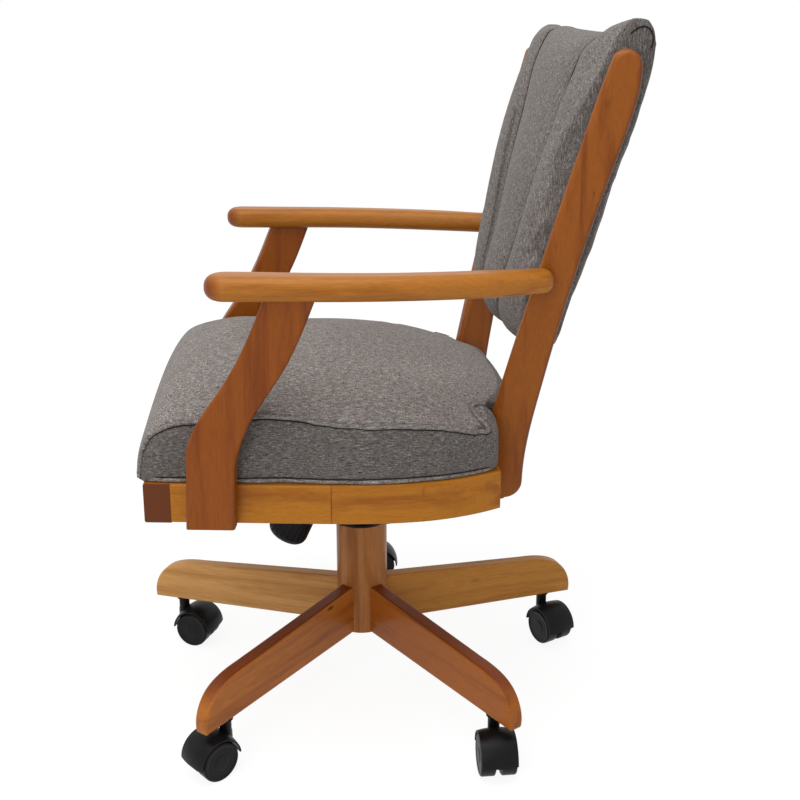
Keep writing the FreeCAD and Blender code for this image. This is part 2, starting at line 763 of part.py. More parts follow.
def make_bracket_screws():
    """Four screws up through the bracket's top plate into the battens."""
    screws = []
    top = size("rail_bottom") + size("rail_height") - size("deck_thick") - size("batten_thick")
    level = top - size("plate")
    for row, y in enumerate((size("batten_front"), size("batten_back"))):
        for column, side in enumerate((-1, 1)):
            x = side * (size("top_plate_half_width") - 14.0)
            tag = "%d%d" % (row, column)
            head = cylinder("ScrewHead" + tag, "Sizes.bracket_screw_head", "4",
                            Placement(Vector(x, y, level - 4.0), Rotation()))
            shank = cylinder("ScrewShank" + tag, "Sizes.bracket_screw_radius", "Sizes.plate + 14",
                             Placement(Vector(x, y, level), Rotation()))
            screws.append(fuse([head, shank], "Screw" + tag))
    return compound(screws, "BracketScrews")


def make_mechanism():
    screws = make_bracket_screws()
    keep(make_spindle(), "swivel_spindle")
    keep(make_housing(), "tilt_housing")
    keep(make_axle(), "tilt_axle")
    keep(make_bumpers(), "tilt_bumpers")
    keep(make_spring(), "tension_spring")
    keep(make_spring_seat(), "spring_seat")
    keep(make_bolt(), "tension_bolt")
    keep(make_knob(), "tension_knob")
    keep(make_bracket(screws), "seat_bracket")
    keep(screws, "bracket_screws")
    return screws


RAIL_TOP = size("rail_bottom") + size("rail_height")
SPLAY = math.radians(size("splay"))
JOINT_X = size("seat_front_half") + math.tan(SPLAY) * (size("rail_joint") - size("seat_front"))
BOW_CENTRE = (
    JOINT_X - size("bow_radius") * math.cos(SPLAY),
    size("rail_joint") + size("bow_radius") * math.sin(SPLAY),
)
CORNER_CENTRE = (BOW_CENTRE[0] + size("bow_radius") - size("corner_radius"), BOW_CENTRE[1])
RAIL_FRONT = size("seat_front") + size("front_rail_thick")


def rail_outer(y):
    """Half width of the seat frame at a depth y: a splayed line, a bow and a rounder corner."""
    if y <= size("rail_joint"):
        return size("seat_front_half") + math.tan(SPLAY) * (y - size("seat_front"))
    if y <= BOW_CENTRE[1]:
        return BOW_CENTRE[0] + math.sqrt(size("bow_radius") ** 2 - (y - BOW_CENTRE[1]) ** 2)
    return CORNER_CENTRE[0] + math.sqrt(size("corner_radius") ** 2 - (y - CORNER_CENTRE[1]) ** 2)


def rail_inner(y):
    """Inside half width: parallel to the splayed line, then straight to the back post."""
    width = size("rail_thick") / math.cos(SPLAY)
    if y <= size("rail_joint"):
        return rail_outer(y) - width
    share = (y - size("rail_joint")) / (size("curve_end") - size("rail_joint"))
    start = JOINT_X - width
    return start + share * (size("curve_inner_end") - start)


def soften_rail(body, base, name, test):
    """Small rounding along the rail's long edges on its outer side."""
    low = size("rail_bottom")
    high = RAIL_TOP
    round_edges(body, base, lambda edge: flat_round(edge, 2, low, high) and test(edge),
                "Sizes.rail_edge_round", name)


def make_front_rail():
    body = new_body("FrontRailBody")
    plan = sketch_on(body, "XY_Plane", "FrontRailPlan", "Sizes.rail_bottom")
    front = size("seat_front")
    draw_polygon(plan, [
        (-rail_outer(front), front), (rail_outer(front), front),
        (rail_outer(RAIL_FRONT), RAIL_FRONT), (-rail_outer(RAIL_FRONT), RAIL_FRONT),
    ])
    board = pad(body, plan, "Sizes.rail_height")
    soften_rail(body, board, "FrontRailRound", lambda edge: edge.BoundBox.YMax < RAIL_FRONT - 1)
    return body


def make_side_rail():
    body = new_body("SideRailBody")
    plan = sketch_on(body, "XY_Plane", "SideRailPlan", "Sizes.rail_bottom")
    joint = size("rail_joint")
    draw_polygon(plan, [
        (rail_outer(RAIL_FRONT), RAIL_FRONT), (rail_outer(joint), joint),
        (rail_inner(joint), joint), (rail_inner(RAIL_FRONT), RAIL_FRONT),
    ])
    board = pad(body, plan, "Sizes.rail_height")
    middle = 0.5 * (RAIL_FRONT + joint)
    soften_rail(body, board, "SideRailRound",
                lambda edge: edge.Length > 100 and edge.BoundBox.XMax > rail_outer(middle))
    return body


def make_curve_rail():
    """Rear part of the side rail, sawn from a thick plank: curved outside, straight inside."""
    body = new_body("CurveRailBody")
    plan = sketch_on(body, "XY_Plane", "CurveRailPlan", "Sizes.rail_bottom")
    joint = size("rail_joint")
    bend = BOW_CENTRE[1]
    end = size("curve_end")

    def spot(y):
        return (rail_outer(y), y)

    draw_path(plan, [
        ("arc", [spot(joint), spot(0.5 * (joint + bend)), spot(bend)]),
        ("arc", [spot(bend), spot(0.5 * (bend + end)), spot(end)]),
        ("line", [spot(end), (rail_inner(end), end), (rail_inner(joint), joint), spot(joint)]),
    ])
    board = pad(body, plan, "Sizes.rail_height")
    soften_rail(body, board, "CurveRailRound", lambda edge: edge.Curve.TypeId == "Part::GeomCircle")
    return body


class Board:
    """A flat board whose outer face is the plane X = x0 + splay (Y - y0) + lean (Z - z0)."""

    def __init__(self, x0, y0, z0, splay, lean):
        self.origin = Vector(x0, y0, z0)
        self.splay = splay
        self.lean = lean
        self.out = Vector(1, -splay, -lean).normalize()
        self.back = Vector(splay, 1, 0).normalize()
        self.up = self.out.cross(self.back)

    def outer(self, y, z):
        return self.origin.x + self.splay * (y - self.origin.y) + self.lean * (z - self.origin.z)

    def inner(self, y, z, thick):
        return self.outer(y, z) - thick / self.out.x

    def local(self, y, z):
        arm = Vector(self.outer(y, z), y, z) - self.origin
        return (arm.dot(self.back), arm.dot(self.up))

    def place(self):
        return Placement(self.origin, Rotation(self.back, self.up, self.out, "XYZ"))

    def path(self, runs):
        return [(kind, [self.local(y, z) for y, z in points]) for kind, points in runs]

    def pin(self, name, radius, y, z, depth, length):
        """A round pin square to the board, from a depth under its outer face outward."""
        start = Vector(self.outer(y, z), y, z) - self.out * depth
        place = Placement(start, Rotation(Vector(0, 0, 1), self.out))
        return cylinder(name, radius, length, place)


ARM_POST = Board(
    rail_outer(size("arm_front") - 56.0) + size("post_thick") / math.cos(SPLAY),
    size("arm_front") - 56.0, RAIL_TOP, math.tan(SPLAY), size("arm_post_lean"),
)
# Arm post edges: depth Y, and the share of the height from the rail's bottom to the arm.
ARM_POST_RISE = size("arm_under_front") - size("rail_bottom")
ARM_POST_FRONT = [
    (y, size("rail_bottom") + share * ARM_POST_RISE)
    for y, share in ((-216.5, 0.256), (-203.5, 0.462), (-177.3, 0.602),
                     (-144.4, 0.808), (-126, 0.96), (-114, 1.061))
]
ARM_POST_BACK = [
    (y, size("rail_bottom") + share * ARM_POST_RISE)
    for y, share in ((-58, 1.061), (-74.8, 0.902), (-100.9, 0.703),
                     (-132.6, 0.527), (-152.3, 0.379), (-160.2, 0.22))
]
ARM_POST_FOOT = (-162.5, -219.8)

BACK_POST = Board(
    size("back_post_x"), size("back_post_y"), size("back_post_z"),
    size("back_post_splay"), size("back_post_lean"),
)
BACK_RISE = size("back_ear_top") - size("rail_bottom")


def back_spots(rows):
    """Points (Y, Z) from depths and shares of the height from the rail's bottom to the ears."""
    return [(y, size("rail_bottom") + share * BACK_RISE) for y, share in rows]


BACK_POST_FRONT = back_spots([
    (142.6, 0.086), (154.2, 0.183), (164.6, 0.259),
    (180.4, 0.37), (200.9, 0.507), (223.2, 0.656),
    (242.4, 0.781), (259.5, 0.888), (267.9, 0.933),
])
BACK_POST_TOP = [BACK_POST_FRONT[-1]] + back_spots([(283.5, 0.945), (299.1, 0.917)])
BACK_POST_BACK = [BACK_POST_TOP[-1]] + back_spots([
    (298, 0.869), (291.3, 0.812), (272.5, 0.695), (247.8, 0.534),
    (227.8, 0.386), (211, 0.244), (197, 0.106), (193.9, 0.02),
])
BACK_POST_FOOT = [BACK_POST_BACK[-1]] + back_spots([(187.7, -0.007), (173.8, -0.02)])


def post_front(z):
    """Depth of the back post's front edge at a height."""
    for low, high in zip(BACK_POST_FRONT, BACK_POST_FRONT[1:]):
        if z <= high[1]:
            break
    return low[0] + (z - low[1]) / (high[1] - low[1]) * (high[0] - low[0])


def make_arm_post():
    """Swept arm support, screwed to the outside of the side rail."""
    body = new_body("ArmPostBody")
    body.Placement = ARM_POST.place()
    outline = sketch_on(body, "XY_Plane", "ArmPostOutline")
    low = size("rail_bottom")
    draw_path(outline, ARM_POST.path([
        ("line", [ARM_POST_BACK[-1], (ARM_POST_FOOT[0], low), (ARM_POST_FOOT[1], low), ARM_POST_FRONT[0]]),
        ("curve", ARM_POST_FRONT),
        ("line", [ARM_POST_FRONT[-1], ARM_POST_BACK[0]]),
        ("curve", ARM_POST_BACK),
    ]))
    board = pad(body, outline, "Sizes.post_thick", reverse=True)
    thick = size("post_thick")
    long_edges = 60.0
    round_edges(body, board, lambda edge: flat_round(edge, 2, 0.0, -thick) and edge.Length > long_edges,
                "Sizes.arm_post_edge_round", "ArmPostRound")
    return body


def make_back_post():
    """Swept back leg of the upper frame, from below the rail to the top of the back."""
    body = new_body("BackPostBody")
    body.Placement = BACK_POST.place()
    outline = sketch_on(body, "XY_Plane", "BackPostOutline")
    draw_path(outline, BACK_POST.path([
        ("curve", BACK_POST_FRONT),
        ("arc", BACK_POST_TOP),
        ("curve", BACK_POST_BACK),
        ("arc", BACK_POST_FOOT),
        ("line", [BACK_POST_FOOT[2], (BACK_POST_FRONT[0][0], BACK_POST_FOOT[2][1]), BACK_POST_FRONT[0]]),
    ]))
    board = pad(body, outline, "Sizes.post_thick", reverse=True)
    thick = size("post_thick")
    round_edges(body, board, lambda edge: flat_round(edge, 2, 0.0, -thick) and edge.Length > 66.0,
                "Sizes.back_edge_round", "BackPostRound")
    return body


ARM_OUTER = [(274.6, -102), (274.6, -40), (270.5, 30.5), (261.3, 97), (247.5, 154.6)]
ARM_INNER = [(209.5, 150.2), (220.5, 92.4), (228.5, 35), (231.5, -27), (229.5, -93.4)]


def end_circle(x, y, radius, heading):
    """An arm end: where its half circle starts, turns and stops, and the way it heads."""
    turn = math.radians(heading)
    ahead = Vector(math.sin(turn), math.cos(turn), 0)
    side = Vector(math.cos(turn), -math.sin(turn), 0)
    middle = Vector(x, y, 0)
    return middle + side * radius, middle + ahead * radius, middle - side * radius, ahead


def make_arm():
    """Bullnosed armrest: a bowed plan, rounded all the way round, falling a little to the back."""
    body = new_body("ArmBody")
    start = size("arm_front")
    body.Placement = Placement(
        Vector(0, start, size("arm_under_front")),
        Rotation(Vector(1, 0, 0), -size("arm_slope")),
    )
    plan = sketch_on(body, "XY_Plane", "ArmPlan")
    level = size("arm_under_front") + 0.3 * size("arm_thick")
    back_y = post_front(level) + size("arm_back_lap")
    back_x = BACK_POST.outer(back_y, level) + size("arm_back_out")
    back = end_circle(back_x, back_y - start, size("arm_back_radius"), -13.5)
    front = end_circle(size("arm_front_x"), size("arm_front_y") - start, size("arm_front_radius"), 180.0)
    plan.addGeometry(Part.Arc(*back[:3]), False)
    plan.addGeometry(Part.Arc(*front[:3]), False)
    for first, middle, last, leave, arrive in (
        (front[2], ARM_OUTER, back[0], -front[3], back[3]),
        (back[2], ARM_INNER, front[0], -back[3], front[3]),
    ):
        curve = Part.BSplineCurve()
        between = [Vector(x, y - start, 0) for x, y in middle]
        curve.interpolate([first] + between + [last], InitialTangent=leave, FinalTangent=arrive)
        plan.addGeometry(curve, False)
    board = pad(body, plan, "Sizes.arm_thick")
    thick = size("arm_thick")
    round_edges(body, board, lambda edge: flat_round(edge, 2, 0.0, thick), "Sizes.arm_round", "ArmRound")
    return body


def make_frame_bolts():
    """Bolts and pins that hold the arm posts, back posts and arms."""
    pins = []
    rail = size("rail_thick")
    for number, z in enumerate((size("rail_bottom") + 12.0, RAIL_TOP - 18.0)):
        depth = size("post_thick") + rail + 4.0
        y = size("arm_front") - 56.0
        pins.append(ARM_POST.pin("ArmBolt%d" % number, "Sizes.frame_bolt_radius", y, z, depth, "40"))
        pins.append(BACK_POST.pin("BackBolt%d" % number, "Sizes.frame_bolt_radius",
                                  size("curve_end") - 7.0, z, size("post_thick"), "36"))
    level = size("arm_under_front") + 0.2 * size("arm_thick")
    pins.append(BACK_POST.pin("ArmPin", "Sizes.frame_bolt_radius", post_front(level) + 7.0, level, 13.0, "28"))
    left = compound(pins, "FrameBoltsLeft")
    return left, mirrored(left, "FrameBoltsRight")


def make_rear_rail(posts):
    body = new_body("RearRailBody")
    plan = sketch_on(body, "XY_Plane", "RearRailPlan", "Sizes.rail_bottom")
    front = size("rear_rail_front")
    back = front + size("rear_rail_thick")
    middle = BACK_POST.inner(front, size("rail_bottom"), 0.6 * size("post_thick"))
    draw_polygon(plan, [(-middle, front), (middle, front), (middle, back), (-middle, back)])
    pad(body, plan, "Sizes.rail_height")
    return cut(cut(body, posts[0], "RearRailLeft"), posts[1], "RearRailCut")


def make_deck():
    """Plywood deck let in flush with the top of the rails."""
    body = new_body("DeckBody")
    plan = sketch_on(body, "XY_Plane", "DeckPlan", "Sizes.rail_bottom + Sizes.rail_height")
    joint = size("rail_joint")
    back = size("deck_back")
    front = RAIL_FRONT
    right = [(rail_inner(front), front), (rail_inner(joint), joint), (rail_inner(back), back)]
    draw_polygon(plan, right + [(-x, y) for x, y in reversed(right)])
    pad(body, plan, "Sizes.deck_thick", reverse=True)
    return body


def make_battens(screws):
    """Two cross battens under the deck, between the rails, that carry the bracket."""
    body = new_body("BattenBody")
    plan = sketch_on(body, "XY_Plane", "BattenPlan", "Sizes.rail_bottom + Sizes.rail_height - Sizes.deck_thick")
    for centre in (size("batten_front"), size("batten_back")):
        front = centre - size("batten_width") / 2
        back = centre + size("batten_width") / 2
        right = [(rail_inner(front), front)]
        if front < size("rail_joint") < back:
            right.append((rail_inner(size("rail_joint")), size("rail_joint")))
        right.append((rail_inner(back), back))
        draw_polygon(plan, right + [(-x, y) for x, y in reversed(right)])
    pad(body, plan, "Sizes.batten_thick", reverse=True)
    return cut(body, screws, "BattensDrilled")


def make_corner_blocks(posts):
    """Glue blocks in the four corners of the frame, under the deck."""
    body = new_body("BlockBody")
    plan = sketch_on(body, "XY_Plane", "BlockPlan", "Sizes.rail_bottom + Sizes.rail_height - Sizes.deck_thick")
    leg = size("block_leg")
    front = RAIL_FRONT
    back = size("rear_rail_front")
    z = RAIL_TOP - size("deck_thick")
    side = BACK_POST.inner(back, z, 0.6 * size("post_thick"))
    for hand in (1, -1):
        corners = [(rail_inner(front), front), (rail_inner(front + leg), front + leg),
                   (rail_inner(front) - leg, front)]
        draw_polygon(plan, [(hand * x, y) for x, y in corners])
        corners = [(side, back), (side, back - 0.3 * leg), (side - 0.6 * leg, back - 0.3 * leg), (side - leg, back)]
        draw_polygon(plan, [(hand * x, y) for x, y in corners])
    pad(body, plan, "Sizes.block_height", reverse=True)
    return cut(cut(body, posts[0], "BlocksLeft"), posts[1], "BlocksCut")


def loft(name, sections):
    feature = doc.addObject("Part::Loft", name)
    feature.Sections = sections
    feature.Solid = True
    feature.Ruled = False
    return feature


def section_sketch(name, place, runs):
    sketch = doc.addObject("Sketcher::SketchObject", name)
    sketch.Placement = place
    draw_path(sketch, runs)
    return sketch


def seat_section(name, y, half, lift, side, peak):
    """Cross section of the seat cushion: flat bottom, full sides and a crowned top."""
    draw_in = 3.0
    low = RAIL_TOP + lift
    side_top = RAIL_TOP + side * size("seat_side_height")
    crown = RAIL_TOP + peak * size("seat_crown_height")
    rise = crown - side_top
    foot = half - draw_in
    shoulder = (0.72 * half, side_top + 0.62 * rise)
    knuckle = (0.92 * half, side_top + 0.24 * rise)
    middle = 0.5 * (low + side_top)
    runs = [
        ("line", [(-foot, low), (foot, low)]),
        ("arc", [(foot, low), (half, middle), (foot, side_top)]),
        ("arc", [(foot, side_top), knuckle, shoulder]),
        ("arc", [shoulder, (0, crown), (-shoulder[0], shoulder[1])]),
        ("arc", [(-shoulder[0], shoulder[1]), (-knuckle[0], knuckle[1]), (-foot, side_top)]),
        ("arc", [(-foot, side_top), (-half, middle), (-foot, low)]),
    ]
    return section_sketch(name, Placement(Vector(0, y, 0), Rotation(Vector(1, 0, 0), 90)), runs)


# Each row: depth Y, half width less the rail's, lift of the bottom, then the side boxing and the
# crown as shares of their full heights above the rails.
SEAT_ROWS = [
    (-279, -13, 14, 0.37, 0.29),
    (-273, -5, 6, 0.54, 0.38),
    (-266, -2, 2, 0.68, 0.52),
    (-257, -1, 0, 0.77, 0.69),
    (-247, 0, 0, 0.83, 0.83),
    (-232, 0, 0, 0.89, 0.91),
    (-203, 0, 0, 0.93, 0.98),
    (-150, 0, 0, 0.99, 1.00),
    (-63, 0, 0, 0.94, 0.92),
    (40, 0, 0, 0.86, 0.84),
    (90, 0, 0, 0.79, 0.76),
    (158, 0, 0, 0.67, 0.60),
]
# The part between the back posts has a half width of its own.
SEAT_TONGUE_HALF = 168.0
SEAT_TONGUE = [(134, 0, 0.70, 0.66), (170, 0, 0.64, 0.61), (190, 0, 0.56, 0.53), (201, 8, 0.42, 0.40)]


def make_seat_cushion(posts):
    """Upholstered seat: crowned, rolled over the front, notched round the back posts."""
    sections = []
    for number, (y, less, lift, side, crown) in enumerate(SEAT_ROWS):
        half = rail_outer(max(y, size("seat_front"))) + less
        sections.append(seat_section("SeatSection%d" % number, y, half, lift, side, crown))
    main = loft("SeatCushionMain", sections)
    tongue = loft("SeatCushionTongue", [
        seat_section("TongueSection%d" % number, y, SEAT_TONGUE_HALF, lift, side, crown)
        for number, (y, lift, side, crown) in enumerate(SEAT_TONGUE)
    ])
    under = doc.addObject("Part::Box", "SeatUnderside")
    under.setExpression("Length", "3 * Sizes.seat_front_half")
    under.setExpression("Width", "3 * Sizes.seat_front_half")
    under.Height = 20
    under.Placement = Placement(
        Vector(-1.5 * size("seat_front_half"), -1.5 * size("seat_front_half"), RAIL_TOP - 20), Rotation())
    whole = cut(fuse([main, tongue], "SeatCushionWhole"), under, "SeatCushionFlat")
    return cut(cut(whole, posts[0], "SeatCushionLeft"), posts[1], "SeatCushionCut")


# Each row: share of the height to the ears, front of the side edge, rear surface, and the seam's
# distance from the middle.
BACK_ROWS = [
    (0.319, 204, 221, 51),
    (0.340, 190, 225, 53),
    (0.381, 185, 231, 55),
    (0.496, 198, 252, 65),
    (0.678, 224, 284, 88),
    (0.818, 247, 307, 106),
    (0.898, 259, 319, 116),
    (0.951, 272, 325, 122),
    (0.983, 284, 322, 125),
    (1.000, 295, 314, 126),
]


def back_section(name, z, front, rear, seam, puff):
    """Cross section of the back: three puffed panels in front, or flat where puff is zero."""
    thick = size("post_thick")
    near = min(BACK_POST.inner(front, z, thick) + 0.5, size("back_ear_half"))
    far = min(BACK_POST.inner(rear, z, thick) + 0.5, size("back_ear_half") + 4.0, near + 12.0)
    if puff == 0:
        runs = [("line", [(-near, front), (near, front), (far, rear), (-far, rear), (-near, front)])]
    else:
        valley = front - 0.7 * puff
        outer_mid = (0.5 * (near + seam), front - 1.35 * puff)
        runs = [
            ("arc", [(-near, front), (-outer_mid[0], outer_mid[1]), (-seam, valley)]),
            ("arc", [(-seam, valley), (0, front - 1.9 * puff), (seam, valley)]),
            ("arc", [(seam, valley), outer_mid, (near, front)]),
            ("line", [(near, front), (far, rear), (-far, rear), (-near, front)]),
        ]
    return section_sketch(name, Placement(Vector(0, 0, z), Rotation()), runs)


def make_back(posts):
    """Back cushion in three panels, and the padded panel behind it."""
    thick = size("back_panel_thick")
    deepest = max(rear - front for share, front, rear, seam in BACK_ROWS)
    fronts = []
    rears = []
    for number, (level, front, rear, seam) in enumerate(BACK_ROWS):
        z = size("rail_bottom") + level * BACK_RISE
        share = min(1.0, (rear - front) / (0.75 * deepest))
        split = rear - thick * share
        fronts.append(back_section("BackFront%d" % number, z, front, split, seam, size("back_puff") * share))
        rears.append(back_section("BackRear%d" % number, z, split, rear, seam, 0))
    dip = size("back_ear_top") - size("back_centre_top")
    radius = (size("back_ear_half") ** 2 + dip ** 2) / (2 * dip)
    hollow = doc.addObject("Part::Cylinder", "BackTopHollow")
    hollow.Radius = radius
    hollow.Height = 400
    hollow.Placement = Placement(
        Vector(0, 500, size("back_centre_top") + radius), Rotation(Vector(1, 0, 0), 90))
    pieces = []
    for name, sections in (("BackCushion", fronts), ("BackPanel", rears)):
        whole = cut(loft(name + "Loft", sections), hollow, name + "Topped")
        pieces.append(cut(cut(whole, posts[0], name + "Left"), posts[1], name + "Cut"))
    return pieces[0], cut(pieces[1], pieces[0], "BackPanelFitted")


def make_upper(screws):
    bolts, bolts_right = make_frame_bolts()
    keep(make_front_rail(), "front_rail")
    post = make_back_post()
    posts = (post, mirrored(post, "BackPostPlainRight"))
    back_post = cut(post, bolts, "BackPostDrilled")
    side_rail = cut(make_side_rail(), bolts, "SideRailDrilled")
    curve_rail = cut(cut(make_curve_rail(), post, "CurveRailNotched"), bolts, "CurveRailDrilled")
    arm = cut(cut(make_arm(), post, "ArmNotched"), bolts, "ArmDrilled")
    arm_post = cut(cut(cut(make_arm_post(), arm, "ArmPostTopped"), side_rail, "ArmPostFitted"),
                   bolts, "ArmPostDrilled")
    pairs = [("side_rail", side_rail), ("curve_rail", curve_rail), ("arm_post", arm_post), ("arm", arm)]
    for name, piece in pairs:
        keep(piece, name + "_left")
        keep(mirrored(piece, name + "_mirror"), name + "_right")
    keep(back_post, "back_post_left")
    keep(mirrored(back_post, "BackPostRight"), "back_post_right")
    keep(compound([bolts, bolts_right], "FrameBolts"), "frame_bolts")
    keep(make_rear_rail(posts), "rear_rail")
    keep(make_deck(), "seat_deck")
    keep(make_battens(screws), "seat_battens")
    keep(make_corner_blocks(posts), "corner_blocks")
    keep(make_seat_cushion(posts), "seat_cushion")
    cushion, panel = make_back(posts)
    keep(cushion, "back_cushion")
    keep(panel, "back_panel")


def write_parts():
    """Check every object, then write one file for each sub-part."""
    doc.recompute()
    faults = []
    for item in doc.Objects:
        if "Invalid" in item.State or "Error" in item.State:
            faults.append(item.Name)
    for node in nodes:
        if node.Shape.isNull() or not node.Shape.isValid() or not node.Shape.Solids:
            faults.append("shape of " + node.Label)
    if faults:
        raise RuntimeError("failed: " + ", ".join(faults))
    os.makedirs("parts", exist_ok=True)
    for node in nodes:
        node.Shape.exportStep(os.path.join("parts", node.Label + ".step"))


make_base()
make_upper(make_mechanism())
write_parts()
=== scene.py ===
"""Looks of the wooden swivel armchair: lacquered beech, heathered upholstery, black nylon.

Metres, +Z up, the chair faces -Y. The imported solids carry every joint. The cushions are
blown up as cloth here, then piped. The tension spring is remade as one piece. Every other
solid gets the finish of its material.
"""
import math

import bmesh
import bpy
import numpy as np
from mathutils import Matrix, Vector
from mathutils.bvhtree import BVHTree


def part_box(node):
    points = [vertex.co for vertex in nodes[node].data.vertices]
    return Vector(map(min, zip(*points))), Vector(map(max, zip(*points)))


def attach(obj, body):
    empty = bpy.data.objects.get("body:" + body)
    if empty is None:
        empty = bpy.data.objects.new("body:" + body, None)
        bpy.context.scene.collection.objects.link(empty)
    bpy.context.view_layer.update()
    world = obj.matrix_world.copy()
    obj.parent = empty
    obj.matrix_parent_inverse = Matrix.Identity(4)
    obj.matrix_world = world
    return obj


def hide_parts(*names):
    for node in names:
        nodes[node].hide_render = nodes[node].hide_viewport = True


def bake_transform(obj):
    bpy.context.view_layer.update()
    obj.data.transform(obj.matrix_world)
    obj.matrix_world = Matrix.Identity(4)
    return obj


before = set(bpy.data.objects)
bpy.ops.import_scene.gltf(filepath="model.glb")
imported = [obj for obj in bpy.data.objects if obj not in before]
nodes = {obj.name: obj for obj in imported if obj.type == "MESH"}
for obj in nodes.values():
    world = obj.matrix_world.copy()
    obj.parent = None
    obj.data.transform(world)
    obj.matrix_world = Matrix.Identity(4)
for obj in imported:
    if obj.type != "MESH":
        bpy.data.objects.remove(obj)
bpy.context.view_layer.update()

MM = 0.001

# The photograph's camera: a standing eye to the sitter's left, looking a little down.
CAMERA_PLACE = (1.4904, -0.0837, 0.8955)
CAMERA_AIM = (0.0462, 0.0645, 0.5183)
CAMERA_LENS = 51.1
CAMERA_SENSOR = 36.0
CAMERA_SHIFT = (-0.0125, -0.0875)

# Colours as sRGB hex, read from the photograph.
BEECH = {
    "rail": ("b27018", "97550e"),
    "front_rail": ("a8631a", "8c4a0e"),
    "post": ("8f4a0c", "773806"),
    "back_post": ("985414", "7f3e0a"),
    "arm": ("b27026", "965615"),
    # The legs' tones differ as boards do, and also as painted light and shade: each leg's colour is
    # lighter or darker for how much light reaches it.
    "leg_1": ("a45c1d", "844510"),
    "leg_2": ("bd8034", "a0641f"),
    "leg_3": ("ae6c2a", "8e4e18"),
    "leg_4": ("cf9a5a", "b37e42"),
    "leg_5": ("b46b28", "924d16"),
    "column": ("aa6e38", "844d20"),
    "inside": ("b08450", "8f6a3c"),
}
# End grain: its own darker colour, with painted shade added.
END_GRAIN_AND_SHADE = "62300e"
ARM_END = "7c3a0c"
# Painted shade of the seat on the leg tops.
LEG_TOP_SHADE = "7a3a12"
# Painted shade on the back posts' rear faces, which face away from the light.
POST_BACK_SHADE = "733408"
MARK = "3a1a08"
YARN_LIGHT = "c6c2bc"
YARN_MIDDLE = "86807c"
YARN_BROWN = "75605a"
YARN_DARK = "3b3534"
# Dark thread colour, also used for painted shade lines in seam creases.
THREAD_AND_SHADOW = "241f1e"

# Real sizes of the cloth, in metres.
YARN_PITCH = 1.25 * MM
SLUB_LENGTH = 8.0 * MM
THREAD_RADIUS = 1.0 * MM
WELT_RADIUS = 2.6 * MM
BOTTOM_WELT = 3.2 * MM
# Sewn grooves, as depth and half width, and how far the painted shade beside a seam reaches.
SEAT_GROOVE = (2.4 * MM, 6 * MM)
CHANNEL_GROOVES = ((2.2 * MM, 12 * MM), (1.0 * MM, 4 * MM))
FOLD_GROOVE = (1.6 * MM, 5 * MM)
SEAT_SHADE = 3.5 * MM
CHANNEL_SHADE = 6.0 * MM
# The folds beside the channels: their part of the channel's points, and how much further out.
FOLD_SPAN = slice(6, 46)
FOLD_SPREAD = np.array([1.22, 1.0, 1.0])
# How far from a seam the cloth is held down while it swells.
SEAT_HELD = 9.0 * MM
BACK_HELD = 8.0 * MM
# The least gap between the seat's rear notches and the back posts.
NOTCH_GAP = 9.0 * MM

# How the padded pieces are worked: merging distances, mesh widths, how far the solid is drawn in,
# how far the cloth may swell from there and under what pressure, and its steps.
MERGE = 0.02 * MM
SPRING_MERGE = 0.005 * MM
SEAT_VOXEL = 6.0 * MM
BACK_VOXEL = 5.0 * MM
SEAT_SHRINK = 2.5 * MM
BACK_SHRINK = 0.8 * MM
SEAT_SWELL = 4.5 * MM
BACK_SWELL = 6.0 * MM
SEAT_PRESSURE = 4.0
BACK_PRESSURE = 3.5
CLOTH_STEPS = 20

FLOOR_HALF = 6.0
LAMP_AIM = (0.0, 0.0, 0.5)


def linear(code):
    """An sRGB hex colour as linear RGBA: (c/12.92) or ((c+0.055)/1.055)^2.4."""
    parts = [int(code[i:i + 2], 16) / 255 for i in (0, 2, 4)]
    return tuple(c / 12.92 if c <= 0.04045 else ((c + 0.055) / 1.055) ** 2.4 for c in parts) + (1.0,)


def node(tree, kind, settings=None, links=None):
    """Add a node, set its attributes or sockets by name, and link its inputs."""
    item = tree.nodes.new(kind)
    for key, value in (settings or {}).items():
        if isinstance(key, str) and hasattr(item, key):
            setattr(item, key, value)
        else:
            item.inputs[key].default_value = value
    for key, source in (links or {}).items():
        tree.links.new(source, item.inputs[key])
    return item


def new_material(name):
    """An empty node material with its output, and a Principled shader on it."""
    material = bpy.data.materials.new(name)
    material.use_nodes = True
    tree = material.node_tree
    tree.nodes.clear()
    shader = node(tree, "ShaderNodeBsdfPrincipled")
    node(tree, "ShaderNodeOutputMaterial", links={"Surface": shader.outputs["BSDF"]})
    return material, tree, shader


def ramp(tree, source, stops):
    """A colour ramp from (position, hex) stops, fed by a value."""
    item = node(tree, "ShaderNodeValToRGB", links={"Fac": source})
    band = item.color_ramp
    while len(band.elements) < len(stops):
        band.elements.new(0.5)
    for element, (place, code) in zip(band.elements, stops):
        element.position = place
        element.color = linear(code)
    return item


def stretched(tree, along, turn, stretch, shift):
    """Object coordinates turned about Z, then squeezed along the grain's axis."""
    place = node(tree, "ShaderNodeTexCoord")
    turned = node(tree, "ShaderNodeMapping",
                  {"Rotation": (0, 0, -turn), "Location": shift}, {"Vector": place.outputs["Object"]})
    scale = [1.0, 1.0, 1.0]
    scale["XYZ".index(along)] = stretch
    return node(tree, "ShaderNodeMapping", {"Scale": scale}, {"Vector": turned.outputs["Vector"]})


